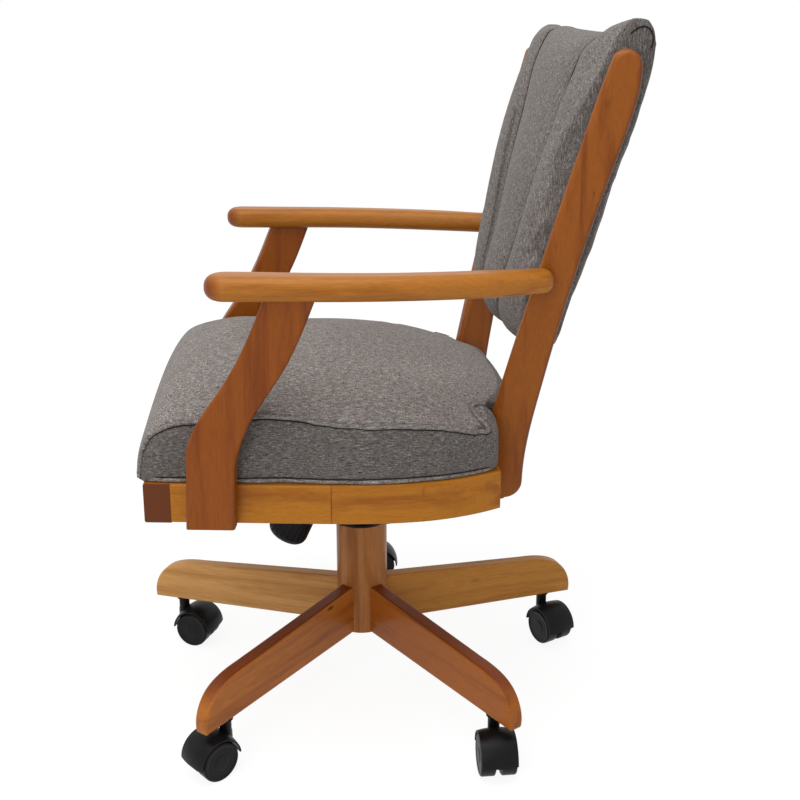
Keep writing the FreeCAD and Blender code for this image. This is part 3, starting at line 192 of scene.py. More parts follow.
def lacquered_beech(name, tone, along="Y", turn=0.0, seed=0.0, worked=(), marks=()):
    """Steamed beech under amber satin lacquer: long soft figure, short pore flecks, slow gloss.

    Faces that look one way turn to a dark red brown. Sawn ends drink the stain, and on the front
    rail's ends painted shade is added to that; on the leg tops and the back posts' rear faces the
    dark is painted shade. Each worked entry is that way, the colour, and how squarely a face
    starts and ends the turn. Each mark is a mineral streak or pin knot: its centre and half sizes
    in millimetres, and its strength.
    """
    material, tree, shader = new_material(name)
    light, dark = BEECH[tone]
    grain = stretched(tree, along, turn, 0.07, (seed, seed * 0.7, seed * 0.3))
    # Board figure about 18 mm wide and ten times as long.
    figure = node(tree, "ShaderNodeTexNoise",
                  {"Scale": 1 / (18 * MM), "Detail": 4.0, "Roughness": 0.6, "Distortion": 0.4},
                  {"Vector": grain.outputs["Vector"]})
    # Fine fibre about 1.4 mm wide.
    fibre = node(tree, "ShaderNodeTexNoise",
                 {"Scale": 1 / (1.4 * MM), "Detail": 3.0, "Roughness": 0.65},
                 {"Vector": grain.outputs["Vector"]})
    # Rays of beech: dark flecks 0.8 mm wide and several long.
    flecks = node(tree, "ShaderNodeTexVoronoi", {"Scale": 1 / (2.2 * MM), "Randomness": 1.0},
                  {"Vector": grain.outputs["Vector"]})
    fleck = node(tree, "ShaderNodeMapRange",
                 {"From Min": 0.05, "From Max": 0.22, "To Min": 1.0, "To Max": 0.0},
                 {"Value": flecks.outputs["Distance"]})
    tint = ramp(tree, figure.outputs["Fac"], [(0.30, dark), (0.52, light), (0.75, light)])
    veil = node(tree, "ShaderNodeMix", {"data_type": "RGBA", "blend_type": "MULTIPLY", "Factor": 0.30})
    tree.links.new(tint.outputs["Color"], veil.inputs["A"])
    soft = ramp(tree, fibre.outputs["Fac"], [(0.30, "9c9186"), (0.62, "ffffff")])
    tree.links.new(soft.outputs["Color"], veil.inputs["B"])
    pores = node(tree, "ShaderNodeMix", {"data_type": "RGBA", "B": linear(dark)})
    weak = node(tree, "ShaderNodeMath", {"operation": "MULTIPLY", 1: 0.35}, {0: fleck.outputs["Result"]})
    tree.links.new(weak.outputs["Value"], pores.inputs["Factor"])
    tree.links.new(veil.outputs["Result"], pores.inputs["A"])
    colour = pores.outputs["Result"]
    for centre, sizes, weight in marks:
        scale = [1 / (length * MM) for length in sizes]
        shift = [-place * MM / (length * MM) for place, length in zip(centre, sizes)]
        spot = node(tree, "ShaderNodeTexCoord")
        spot = node(tree, "ShaderNodeMapping", {"Scale": scale, "Location": shift},
                    {"Vector": spot.outputs["Object"]})
        spot = node(tree, "ShaderNodeVectorMath", {"operation": "LENGTH"}, {0: spot.outputs["Vector"]})
        spot = node(tree, "ShaderNodeMapRange",
                    {"From Min": 0.2, "From Max": 1.0, "To Min": weight, "To Max": 0.0},
                    {"Value": spot.outputs["Value"]})
        stain = node(tree, "ShaderNodeMix", {"data_type": "RGBA", "B": linear(MARK)},
                     {"Factor": spot.outputs["Result"], "A": colour})
        colour = stain.outputs["Result"]
    # Worked faces: the stain of sawn ends, and painted shade on leg tops, post backs and the front
    # rail's ends.
    for way, code, start, full in worked:
        facing = node(tree, "ShaderNodeTexCoord")
        square = node(tree, "ShaderNodeVectorMath", {"operation": "DOT_PRODUCT", 1: way},
                      {0: facing.outputs["Normal"]})
        end = node(tree, "ShaderNodeMapRange", {"From Min": start, "From Max": full},
                   {"Value": square.outputs["Value"]})
        stain_and_shade_face = node(tree, "ShaderNodeMix", {"data_type": "RGBA", "B": linear(code)},
                        {"Factor": end.outputs["Result"], "A": colour})
        colour = stain_and_shade_face.outputs["Result"]
    tree.links.new(colour, shader.inputs["Base Color"])
    rough = node(tree, "ShaderNodeMapRange", {"To Min": 0.34, "To Max": 0.50},
                 {"Value": figure.outputs["Fac"]})
    tree.links.new(rough.outputs["Result"], shader.inputs["Roughness"])
    bump = node(tree, "ShaderNodeBump", {"Strength": 0.05, "Distance": 0.3 * MM},
                {"Height": fibre.outputs["Fac"]})
    tree.links.new(bump.outputs["Normal"], shader.inputs["Normal"])
    shader.inputs["IOR"].default_value = 1.5
    shader.inputs["Specular IOR Level"].default_value = 0.14
    shader.inputs["Coat Weight"].default_value = 0.14
    shader.inputs["Coat Roughness"].default_value = 0.18
    return material


def heathered_cloth(name, along, shade=1.0):
    """Woven heather of grey, red-brown and off-white yarns: short slubs both ways, a matt face."""
    material, tree, shader = new_material(name)
    place = node(tree, "ShaderNodeTexCoord")
    cross = {"X": "Y", "Y": "X", "Z": "X"}[along]
    fields = []
    for axis, length in ((along, SLUB_LENGTH), (cross, 0.6 * SLUB_LENGTH)):
        scale = [1 / YARN_PITCH] * 3
        scale["XYZ".index(axis)] = 1 / length
        mapped = node(tree, "ShaderNodeMapping", {"Scale": scale}, {"Vector": place.outputs["Object"]})
        fields.append(node(tree, "ShaderNodeTexNoise", {"Scale": 1.0, "Detail": 2.0, "Roughness": 0.65},
                           {"Vector": mapped.outputs["Vector"]}))
    speck = node(tree, "ShaderNodeTexNoise", {"Scale": 1 / YARN_PITCH, "Detail": 2.0, "Roughness": 0.7},
                 {"Vector": place.outputs["Object"]})
    weft = node(tree, "ShaderNodeMath", {"operation": "MULTIPLY", 1: 0.46},
                {0: fields[0].outputs["Fac"]})
    warp = node(tree, "ShaderNodeMath", {"operation": "MULTIPLY_ADD", 1: 0.32},
                {0: fields[1].outputs["Fac"], 2: weft.outputs["Value"]})
    weave = node(tree, "ShaderNodeMath", {"operation": "MULTIPLY_ADD", 1: 0.22},
                 {0: speck.outputs["Fac"], 2: warp.outputs["Value"]})
    tint = ramp(tree, weave.outputs["Value"],
                [(0.40, YARN_DARK), (0.48, YARN_MIDDLE), (0.53, YARN_MIDDLE), (0.62, YARN_LIGHT)])
    # Red-brown yarns come and go in patches a few slubs wide.
    patch = node(tree, "ShaderNodeTexNoise",
                 {"Scale": 1 / (0.7 * SLUB_LENGTH), "Detail": 3.0, "Roughness": 0.7},
                 {"Vector": place.outputs["Object"]})
    share = node(tree, "ShaderNodeMapRange",
                 {"From Min": 0.50, "From Max": 0.68, "To Min": 0.0, "To Max": 0.6},
                 {"Value": patch.outputs["Fac"]})
    mixed = node(tree, "ShaderNodeMix", {"data_type": "RGBA", "B": linear(YARN_BROWN)},
                 {"Factor": share.outputs["Result"], "A": tint.outputs["Color"]})
    # Sunlit and brushed areas differ a little over a hand's width.
    mottle = node(tree, "ShaderNodeTexNoise", {"Scale": 1 / (45 * MM), "Detail": 2.0},
                  {"Vector": place.outputs["Object"]})
    # The shade argument scales a copy's brightness: painted shade for faces that get less light.
    level = node(tree, "ShaderNodeMapRange", {"To Min": 0.90 * shade, "To Max": 1.10 * shade},
                 {"Value": mottle.outputs["Fac"]})
    # Painted shade: along a sewn line, where the cloth folds in, the colour is darkened as its seam
    # attribute says.
    sewn = node(tree, "ShaderNodeAttribute", {"attribute_name": "seam"})
    seam_shade_factor = node(tree, "ShaderNodeMapRange", {"To Min": 1.0, "To Max": 0.34},
                {"Value": sewn.outputs["Fac"]})
    value = node(tree, "ShaderNodeMath", {"operation": "MULTIPLY"},
                 {0: level.outputs["Result"], 1: seam_shade_factor.outputs["Result"]})
    dim = node(tree, "ShaderNodeHueSaturation", None,
               {"Color": mixed.outputs["Result"], "Value": value.outputs["Value"]})
    tree.links.new(dim.outputs["Color"], shader.inputs["Base Color"])
    bump = node(tree, "ShaderNodeBump", {"Strength": 0.6, "Distance": 0.6 * MM},
                {"Height": weave.outputs["Value"]})
    tree.links.new(bump.outputs["Normal"], shader.inputs["Normal"])
    shader.inputs["Roughness"].default_value = 0.92
    shader.inputs["Sheen Weight"].default_value = 0.15
    shader.inputs["Sheen Roughness"].default_value = 0.5
    shader.inputs["Sheen Tint"].default_value = linear("cfc6bf")
    shader.inputs["Specular IOR Level"].default_value = 0.2
    return material


def moulded(name, code, rough, grit, strength):
    """Moulded plastic or rubber: one colour with a fine spark-eroded grain and faint scuffs."""
    material, tree, shader = new_material(name)
    place = node(tree, "ShaderNodeTexCoord")
    grain = node(tree, "ShaderNodeTexNoise", {"Scale": 1 / grit, "Detail": 2.0},
                 {"Vector": place.outputs["Object"]})
    scuff = node(tree, "ShaderNodeTexNoise", {"Scale": 1 / (20 * MM), "Detail": 5.0, "Roughness": 0.7},
                 {"Vector": place.outputs["Object"]})
    tint = ramp(tree, scuff.outputs["Fac"], [(0.35, code), (0.9, "151517")])
    tree.links.new(tint.outputs["Color"], shader.inputs["Base Color"])
    level = node(tree, "ShaderNodeMapRange", {"To Min": rough - 0.06, "To Max": rough + 0.10},
                 {"Value": scuff.outputs["Fac"]})
    tree.links.new(level.outputs["Result"], shader.inputs["Roughness"])
    bump = node(tree, "ShaderNodeBump", {"Strength": strength, "Distance": 0.2 * MM},
                {"Height": grain.outputs["Fac"]})
    tree.links.new(bump.outputs["Normal"], shader.inputs["Normal"])
    shader.inputs["Specular IOR Level"].default_value = 0.16
    return material


def worked_metal(name, code, rough, along):
    """Steel, drawn or pressed: fine lines along the way it was worked, a little uneven gloss."""
    material, tree, shader = new_material(name)
    lines = stretched(tree, along, 0.0, 0.04, (0, 0, 0))
    scratch = node(tree, "ShaderNodeTexNoise", {"Scale": 1 / (0.5 * MM), "Detail": 3.0},
                   {"Vector": lines.outputs["Vector"]})
    tint = ramp(tree, scratch.outputs["Fac"], [(0.3, code), (0.9, "d8dadd")])
    tree.links.new(tint.outputs["Color"], shader.inputs["Base Color"])
    level = node(tree, "ShaderNodeMapRange", {"To Min": rough - 0.08, "To Max": rough + 0.12},
                 {"Value": scratch.outputs["Fac"]})
    tree.links.new(level.outputs["Result"], shader.inputs["Roughness"])
    bump = node(tree, "ShaderNodeBump", {"Strength": 0.06, "Distance": 0.1 * MM},
                {"Height": scratch.outputs["Fac"]})
    tree.links.new(bump.outputs["Normal"], shader.inputs["Normal"])
    shader.inputs["Metallic"].default_value = 1.0
    return material


def dress(name, material):
    """Put one material on a node's slots."""
    mesh = nodes[name].data
    mesh.materials.clear()
    mesh.materials.append(material)


def put_object(name, mesh):
    """Link a mesh as an object at the origin."""
    item = bpy.data.objects.new(name, mesh)
    bpy.context.scene.collection.objects.link(item)
    return item


def read_points(mesh):
    """All vertices as an array of rows."""
    points = np.empty(len(mesh.vertices) * 3)
    mesh.vertices.foreach_get("co", points)
    return points.reshape(-1, 3)


def read_normals(mesh):
    """All vertex normals as an array of rows."""
    normals = np.empty(len(mesh.vertices) * 3)
    mesh.vertices.foreach_get("normal", normals)
    return normals.reshape(-1, 3)


def write_points(mesh, points):
    """Put the vertices back."""
    mesh.vertices.foreach_set("co", points.ravel())
    mesh.update()


def distance_to_path(points, path):
    """Each point's distance to a polyline: the least over its runs, clamped to their ends."""
    best = np.full(len(points), 1e9)
    for start, end in zip(path, path[1:]):
        run = end - start
        share = np.clip(((points - start) @ run) / max(run @ run, 1e-12), 0, 1)
        best = np.minimum(best, np.linalg.norm(points - start - share[:, None] * run, axis=1))
    return best


def mesh_tree(item):
    """A nearest-point tree of an object's mesh."""
    mesh = item.data
    points = [tuple(point) for point in read_points(mesh)]
    return BVHTree.FromPolygons(points, [tuple(face.vertices) for face in mesh.polygons])


def merged_copy(sources, name, merge):
    """Solids copied into one mesh, whose loose triangles are merged."""
    work = bmesh.new()
    for source in sources:
        work.from_mesh(nodes[source].data)
    bmesh.ops.remove_doubles(work, verts=work.verts, dist=merge)
    mesh = bpy.data.meshes.new(name)
    work.to_mesh(mesh)
    work.free()
    return put_object(name, mesh)


def apply_modifiers(item):
    """Replace the mesh by its evaluated form and drop the modifiers."""
    view = bpy.context.evaluated_depsgraph_get()
    done = bpy.data.meshes.new_from_object(item.evaluated_get(view))
    old = item.data
    item.modifiers.clear()
    item.data = done
    bpy.data.meshes.remove(old)


def relax(item, rounds):
    """Laplace smoothing: each point goes half way to the mean of its neighbours."""
    mesh = item.data
    ends = np.empty(len(mesh.edges) * 2, dtype=int)
    mesh.edges.foreach_get("vertices", ends)
    ends = ends.reshape(-1, 2)
    points = read_points(mesh)
    count = np.bincount(ends.ravel(), minlength=len(points))[:, None]
    for _ in range(rounds):
        total = np.zeros_like(points)
        np.add.at(total, ends[:, 0], points[ends[:, 1]])
        np.add.at(total, ends[:, 1], points[ends[:, 0]])
        points = points + 0.5 * (total / count - points)
    write_points(mesh, points)


def voxel_copy(sources, name, voxel, rounds, shrink):
    """Solids as one even skin, relaxed, and drawn in along its normals to have room to swell."""
    item = merged_copy(sources, name, MERGE)
    remesh = item.modifiers.new("voxels", "REMESH")
    remesh.mode = "VOXEL"
    remesh.voxel_size = voxel
    apply_modifiers(item)
    relax(item, rounds)
    write_points(item.data, read_points(item.data) - shrink * read_normals(item.data))
    return item


def blow_up(item, held, cap, pressure):
    """Swell a closed mesh as cloth under pressure, holding some points, no further than a cap."""
    before = read_points(item.data)
    group = item.vertex_groups.new(name="held")
    group.add(np.flatnonzero(held).tolist(), 1.0, "REPLACE")
    cloth = item.modifiers.new("cloth", "CLOTH")
    settings = cloth.settings
    settings.quality = 6
    settings.mass = 0.35
    settings.tension_stiffness = 12
    settings.compression_stiffness = 12
    settings.shear_stiffness = 6
    settings.bending_stiffness = 1.2
    settings.use_pressure = True
    settings.uniform_pressure_force = pressure
    settings.vertex_group_mass = "held"
    settings.effector_weights.gravity = 0
    cloth.collision_settings.use_collision = False
    scene = bpy.context.scene
    cloth.point_cache.frame_start = 1
    cloth.point_cache.frame_end = CLOTH_STEPS
    for number in range(1, CLOTH_STEPS + 1):
        scene.frame_set(number)
    apply_modifiers(item)
    scene.frame_set(1)
    move = read_points(item.data) - before
    length = np.linalg.norm(move, axis=1, keepdims=True)
    move *= np.minimum(1.0, cap / np.maximum(length, 1e-9))
    write_points(item.data, before + move)


def pinch(item, paths, depth, width):
    """Draw a surface in along seams: depth times exp(-(distance/width)^2) against the normal."""
    points = read_points(item.data)
    normals = read_normals(item.data)
    for path in paths:
        near = distance_to_path(points, path)
        points = points - (depth * np.exp(-(near / width) ** 2))[:, None] * normals
    write_points(item.data, points)


def paint_seam_shade(item, lines, width):
    """Seam attribute of painted shade: the most that a line gives, its weight times
    exp(-(distance/width)^2).
    """
    points = read_points(item.data)
    shade = np.max([weight * np.exp(-(distance_to_path(points, path) / width) ** 2)
                    for path, weight in lines], axis=0)
    sewn = item.data.attributes.new("seam", "FLOAT", "POINT")
    sewn.data.foreach_set("value", shade.astype(np.float32))


def subdivide(item):
    """Divide and round every face once."""
    finish = item.modifiers.new("smooth", "SUBSURF")
    finish.levels = 1
    finish.render_levels = 1
    apply_modifiers(item)


def smooth_path(corners, steps=12):
    """Catmull-Rom curve through the corners, as an even row of points."""
    corners = np.asarray(corners, dtype=float)
    padded = np.vstack([2 * corners[0] - corners[1], corners, 2 * corners[-1] - corners[-2]])
    share = np.linspace(0, 1, steps, endpoint=False)[:, None]
    rows = []
    for a, b, c, d in zip(padded, padded[1:], padded[2:], padded[3:]):
        rows.append(0.5 * (2 * b + (c - a) * share + (2 * a - 5 * b + 4 * c - d) * share ** 2
                           + (3 * b - a - 3 * c + d) * share ** 3))
    return np.vstack(rows + [corners[-1:]])


def settle(path, tree, lift=0.0):
    """Move every point of a path to the nearest spot of a surface, then out along its normal."""
    rows = []
    for point in path:
        spot, normal, _, _ = tree.find_nearest(Vector(point))
        rows.append(np.array(spot) + lift * np.array(normal))
    return np.array(rows)


def tube(name, path, radius, material, sides=10, closed=False):
    """Round tube: a circle of the radius carried square to the path, its ends closed by a cap."""
    path = np.asarray(path)
    if closed:
        tangent = np.roll(path, -1, axis=0) - np.roll(path, 1, axis=0)
    else:
        tangent = np.gradient(path, axis=0)
    tangent /= np.linalg.norm(tangent, axis=1, keepdims=True)
    side = np.cross(tangent, (0.23, 0.11, 0.97))
    side /= np.linalg.norm(side, axis=1, keepdims=True)
    up = np.cross(side, tangent)
    turn = np.linspace(0, 2 * math.pi, sides, endpoint=False)
    ring = np.cos(turn)[None, :, None] * side[:, None] + np.sin(turn)[None, :, None] * up[:, None]
    points = (path[:, None] + radius * ring).reshape(-1, 3)
    rows = len(path)
    first = np.arange(rows if closed else rows - 1)[:, None] * sides
    second = (first + sides) % (rows * sides)
    here = np.arange(sides)[None, :]
    after = (here + 1) % sides
    faces = np.stack([first + here, first + after, second + after, second + here], axis=-1)
    faces = [tuple(face) for face in faces.reshape(-1, 4)]
    if not closed:
        faces.append(tuple(range(sides - 1, -1, -1)))
        faces.append(tuple(range((rows - 1) * sides, rows * sides)))
    work = bmesh.new()
    made = [work.verts.new(p) for p in points]
    for face in faces:
        work.faces.new([made[int(i)] for i in face])
    bmesh.ops.recalc_face_normals(work, faces=work.faces)
    mesh = bpy.data.meshes.new(name)
    work.to_mesh(mesh)
    work.free()
    mesh.materials.append(material)
    item = put_object(name, mesh)
    smooth_all(item)
    return item


def smooth_all(item):
    """Shade every face smoothly."""
    item.data.polygons.foreach_set("use_smooth", np.ones(len(item.data.polygons), dtype=bool))
    item.data.update()


# Finishes.
wood = {
    "rail_y": lacquered_beech("lacquered_beech_rail", "rail", "Y", seed=1.0),
    # The front rail's sawn ends: end grain's own dark, with painted shade in it too.
    "rail_x": lacquered_beech("lacquered_beech_front_rail", "front_rail", "X", seed=2.0,
                               worked=[((side, 0, 0), END_GRAIN_AND_SHADE, 0.75, 0.85) for side in (-1, 1)]),
    "arm": lacquered_beech("lacquered_beech_arm", "arm", "Y", seed=3.0,
                           worked=[((0, -1, 0), ARM_END, 0.12, 0.75)]),
    "bend": lacquered_beech("lacquered_beech_bent_rail", "rail", "Y", seed=8.5,
                            marks=[((250, -49, 359), (60, 0.9, 60), 0.8),
                                   ((250, 60, 372), (60, 2, 9), 0.35)]),
    "front_post": lacquered_beech("lacquered_beech_arm_post", "post", "Z", seed=4.0),
    # Painted shade: the back posts' rear faces darken where they face away from the light.
    "post": lacquered_beech("lacquered_beech_back_post", "back_post", "Z", seed=4.6,
                            worked=[((0, 1, 0), POST_BACK_SHADE, 0.12, 0.6)],
                            marks=[((235, 257, 720), (14, 2.5, 5), 0.9),
                                   ((235, 265, 822), (14, 7, 9), 0.3)]),
    "column": lacquered_beech("lacquered_beech_column", "column", "Z", seed=5.0),
    "inside": lacquered_beech("raw_beech_inside", "inside", "X", seed=6.0),
}
# Copies of one cloth at different brightness, as painted light and shade: the boxing and the back's
# sides are darkest, for side faces that the overhead light hardly reaches, and the back is darker than
# the seat, for its front that gets less light.
cloth_seat = heathered_cloth("heathered_cloth_seat", "Y", 0.93)
cloth_boxing_shade = heathered_cloth("heathered_cloth_boxing", "Y", 0.52)
cloth_back = heathered_cloth("heathered_cloth_back", "Z", 0.72)
cloth_back_side_shade = heathered_cloth("heathered_cloth_back_side", "Z", 0.52)
cloth_welt = heathered_cloth("heathered_cloth_welt", "Y", 0.85)
# Dark thread, laid in seam creases as painted shade as well as thread.
thread_and_seam_shadow = moulded("dark_thread_and_seam_shadow", THREAD_AND_SHADOW, 0.7, 0.5 * MM, 0.2)
nylon = moulded("black_nylon_wheel", "090a0a", 0.42, 0.4 * MM, 0.05)
hood = moulded("black_nylon_hood", "08080a", 0.38, 0.35 * MM, 0.06)
knob = moulded("black_phenolic_knob", "070707", 0.40, 0.5 * MM, 0.05)
rubber = moulded("black_rubber_bumper", "1a1a1a", 0.75, 0.3 * MM, 0.15)
black_steel = moulded("powder_coated_steel", "0e0e0f", 0.50, 0.6 * MM, 0.08)
bright_steel = worked_metal("zinc_plated_steel", "b9bcc0", 0.30, "Z")

BASE_TURN = 31.6
LEG_MARKS = {5: [((72, -48, 133), (9, 9, 3.5), 0.95)], 2: [((-20, 170, 112), (30, 12, 5), 0.35)]}
# Legs 1 and 5 get painted shade on their tops, for the seat's shadow that falls there.
for number in range(1, 6):
    turn = math.radians(BASE_TURN + 72.0 * (number - 1))
    dress("leg_%d" % number,
          lacquered_beech("lacquered_beech_leg_%d" % number, "leg_%d" % number, "X",
                          turn=turn, seed=7.0 + number, marks=LEG_MARKS.get(number, ()),
                          worked=[((0, 0, 1), LEG_TOP_SHADE, 0.45, 0.95)] if number in (1, 5) else ()))
    dress("caster_hood_%d" % number, hood)
    dress("caster_pins_%d" % number, bright_steel)
    dress("caster_wheel_a_%d" % number, nylon)
    dress("caster_wheel_b_%d" % number, nylon)
for name in ("side_rail_left", "side_rail_right"):
    dress(name, wood["rail_y"])
for name in ("curve_rail_left", "curve_rail_right"):
    dress(name, wood["bend"])
for name in ("front_rail", "rear_rail"):
    dress(name, wood["rail_x"])
for name in ("arm_left", "arm_right"):
    dress(name, wood["arm"])
for name in ("arm_post_left", "arm_post_right"):
    dress(name, wood["front_post"])
for name in ("back_post_left", "back_post_right"):
    dress(name, wood["post"])
dress("hub_column", wood["column"])
for name in ("seat_deck", "seat_battens", "corner_blocks", "leg_dowels"):
    dress(name, wood["inside"])
for name in ("swivel_sleeve", "tilt_housing", "seat_bracket", "spring_seat", "caster_sockets"):
    dress(name, black_steel)
for name in ("swivel_spindle", "tilt_axle", "tension_bolt", "tension_spring",
             "frame_bolts", "bracket_screws"):
    dress(name, bright_steel)
dress("tension_knob", knob)
dress("tilt_bumpers", rubber)


# Seat seam, from the front corner's foot up over the side and back to the post, in millimetres:
# half width, depth, and height above the rails.
SIDE_SEAM = [(205, -277, 4), (209, -279, 24), (212, -276, 44), (215, -266, 58), (218, -240, 73),
             (223, -203, 79), (232, -133, 84), (241, -66, 80), (249, 31, 73), (247, 67, 70),
             (240, 104, 66), (226, 142, 59), (214, 143, 65), (203, 136, 73), (192, 132, 79),
             (181, 132, 82), (172, 138, 84), (167, 150, 82)]
# The top stitch on the ear's cheek: depth Y and height under the ear's top, in millimetres.
EAR_STITCH = [(292, -14), (299, -8), (307, -6), (314, -8), (319, -14), (320, -22), (318, -30)]

# Back channels: share of the back's height, distance from the middle, depth Y. They fan upward.
CHANNEL = [(0.02, 51, 200), (0.10, 55, 179), (0.27, 65, 192), (0.53, 88, 217), (0.73, 106, 240),
           (0.85, 116, 252), (0.93, 122, 266), (0.98, 125, 284)]


def both_hands(path):
    """A path and its mirror image across the chair's middle plane."""
    return [path, path * np.array([-1.0, 1.0, 1.0])]


def near_paths(item, paths, reach):
    """Which points of a mesh lie within a reach of any path."""
    points = read_points(item.data)
    return np.min([distance_to_path(points, path) for path in paths], axis=0) < reach


def girdle(surface, centre, radius, height, steps=220):
    """A closed loop round a piece at one height: a ray from outside to the middle at each turn."""
    loop = []
    for turn in np.linspace(0, 2 * math.pi, steps, endpoint=False):
        out = Vector((math.cos(turn), math.sin(turn), 0))
        start = Vector((centre[0], centre[1], height)) + out * radius
        spot = surface.ray_cast(start, -out)[0]
        if spot is not None:
            loop.append(np.array(spot))
    loop = np.array(loop)
    for _ in range(3):
        loop = 0.5 * loop + 0.25 * (np.roll(loop, 1, axis=0) + np.roll(loop, -1, axis=0))
    return loop


def upholster(item, *solids):
    """What every padded piece shares: it stands for its solids, rides on the seat and is cloth."""
    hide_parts(*solids)
    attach(item, "seat")


def piping(name, path, radius, material, closed=False):
    """A covered cord along a seam, riding on the seat."""
    cord = tube(name, path, radius, material, closed=closed)
    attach(cord, "seat")


def thread_and_shadow_line(name, path, closed=False):
    """A line of dark thread in a seam; laid in a crease, it is painted shade as well as thread."""
    piping(name, path, THREAD_RADIUS, thread_and_seam_shadow, closed=closed)


def keep_off(item, others, gap, low, high):
    """Push points away from other pieces until a gap opens, growing from a low to a high level."""
    points = read_points(item.data)
    trees = [mesh_tree(nodes[name]) for name in others]
    reach = np.clip((points[:, 2] - low) / (high - low), 0, 1) * gap + 0.6 * MM
    for tree in trees:
        for number, point in enumerate(points):
            spot, normal, _, space = tree.find_nearest(Vector(point), 30 * MM)
            if spot is None:
                continue
            away = Vector(point) - spot
            if away.dot(normal) < 0:
                away = -away
                space = -space
            if space < reach[number] and away.length > 1e-7:
                points[number] = point + np.array(away.normalized()) * (reach[number] - space)
    write_points(item.data, points)


def second_cloth(item, material, chosen):
    """Give the chosen faces a second cloth: a darker copy of the first, as painted shade."""
    item.data.materials.append(material)
    index = np.zeros(len(item.data.polygons), dtype=np.int32)
    index[chosen] = 1
    item.data.polygons.foreach_set("material_index", index)
    item.data.update()


def face_places(item):
    """Centres and normals of all faces."""
    mesh = item.data
    centres = np.empty(len(mesh.polygons) * 3)
    normals = np.empty(len(mesh.polygons) * 3)
    mesh.polygons.foreach_get("center", centres)
    mesh.polygons.foreach_get("normal", normals)
    return centres.reshape(-1, 3), normals.reshape(-1, 3)


def smooth_step(values, start, full):
    """0 before the start, 1 after the full value, and 3s^2 - 2s^3 between."""
    share = np.clip((values - start) / (full - start), 0, 1)
    return share * share * (3 - 2 * share)


def square_foot(item, low):
    """Let the front's lower edge down on to the rail, fading out higher up and further back."""
    points = read_points(item.data)
    front = smooth_step(-points[:, 1], 245 * MM, 272 * MM)
    near_rail = 1 - smooth_step(points[:, 2] - low[2], 12 * MM, 45 * MM)
    points[:, 2] -= 12 * MM * front * near_rail
    points[:, 1] -= 3 * MM * front * near_rail
    points[:, 2] = np.maximum(points[:, 2], low[2])
    write_points(item.data, points)


def round_ears(item, high):
    """Raise each ear to a round lobe and let the top edge dip between them.

    Each share below is a smooth step or, across the back's depth, exp(-((y - 300)/22)^2). Lower
    down, the rear face also comes out by up to 7 mm.
    """
    points = read_points(item.data)
    normals = read_normals(item.data)
    side = np.abs(points[:, 0])
    top = smooth_step(points[:, 2], high[2] - 34 * MM, high[2] - 10 * MM)
    ear = smooth_step(side, 150 * MM, 212 * MM)
    crest = np.exp(-((points[:, 1] - 300 * MM) / (22 * MM)) ** 2)
    # The filling has settled to the sitter's left, so the top's dip is deeper there.
    middle = 1 - smooth_step(side, 140 * MM, 188 * MM)
    lean = np.clip(points[:, 0] / (120 * MM), -1, 1)
    sag = 1.5 * MM + 4.6 * MM * lean
    points[:, 2] += top * ((3.0 + 1.5 * lean) * MM * ear * crest - sag * middle)
    lower = 1 - smooth_step(points[:, 2], high[2] - 300 * MM, high[2] - 110 * MM)
    points[:, 1] += 7 * MM * lower * np.maximum(normals[:, 1], 0)
    write_points(item.data, points)


def make_seat():
    """Seat: swelled between its piped edges, flat underneath, with a cord along each seam."""
    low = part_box("seat_cushion")[0]
    item = voxel_copy(("seat_cushion",), "seat_pad", SEAT_VOXEL, 0, SEAT_SHRINK)
    lift = np.array([0.0, 0.0, low[2]])
    seams = both_hands(smooth_path(np.array(SIDE_SEAM) * MM + lift))
    held = (read_points(item.data)[:, 2] < low[2] + SEAT_HELD) | near_paths(item, seams, SEAT_HELD)
    blow_up(item, held, SEAT_SWELL, SEAT_PRESSURE)
    relax(item, 2)
    square_foot(item, low)
    keep_off(item, ("back_post_left", "back_post_right"), NOTCH_GAP, low[2] + 35 * MM, low[2] + 60 * MM)
    seams = [settle(path, mesh_tree(item)) for path in seams]
    subdivide(item)
    # Painted shade along the seat's seams, where the crease lies in shadow.
    paint_seam_shade(item, [(path, 0.8) for path in seams], SEAT_SHADE)
    pinch(item, seams, *SEAT_GROOVE)
    points = read_points(item.data)
    points[:, 2] = np.maximum(points[:, 2], low[2] + 0.3 * MM)
    write_points(item.data, points)
    item.data.materials.append(cloth_seat)
    # Painted shade: below the seam, faces that look sideways and the rear faces get the darker boxing
    # copy of the cloth.
    centres, normals = face_places(item)
    rim = seams[0][np.argsort(seams[0][:, 1])]
    seam_z = np.interp(centres[:, 1], rim[:, 1], rim[:, 2])
    outside = np.abs(normals[:, 0]) > 0.45
    behind = centres[:, 1] > 132 * MM
    second_cloth(item, cloth_boxing_shade, (centres[:, 2] < seam_z) & (outside | behind))
    smooth_all(item)
    upholster(item, "seat_cushion")
    surface = mesh_tree(item)
    for hand, path in zip(("left", "right"), seams):
        rest = settle(path, surface, 0.5 * WELT_RADIUS)
        piping("seat_side_piping_" + hand, rest, WELT_RADIUS, cloth_welt)
        # Painted shade: a dark thread line just under each welt, where the seam's shadow lies.
        under = path - np.array([0.0, 0.0, 1.25 * WELT_RADIUS])
        thread_and_shadow_line("seat_side_thread_and_shadow_line_" + hand, settle(under, surface, 0.2 * MM))
    loop = girdle(surface, (0.0, -0.02), 0.5, low[2] + 1.05 * BOTTOM_WELT)
    piping("seat_bottom_piping", loop, BOTTOM_WELT, cloth_welt, closed=True)
    # Painted shade: a dark thread line just above the bottom piping, where its crease's shadow lies.
    loop = girdle(surface, (0.0, -0.02), 0.5, low[2] + 2.15 * BOTTOM_WELT)
    thread_and_shadow_line("seat_bottom_thread_and_shadow_line", loop, closed=True)


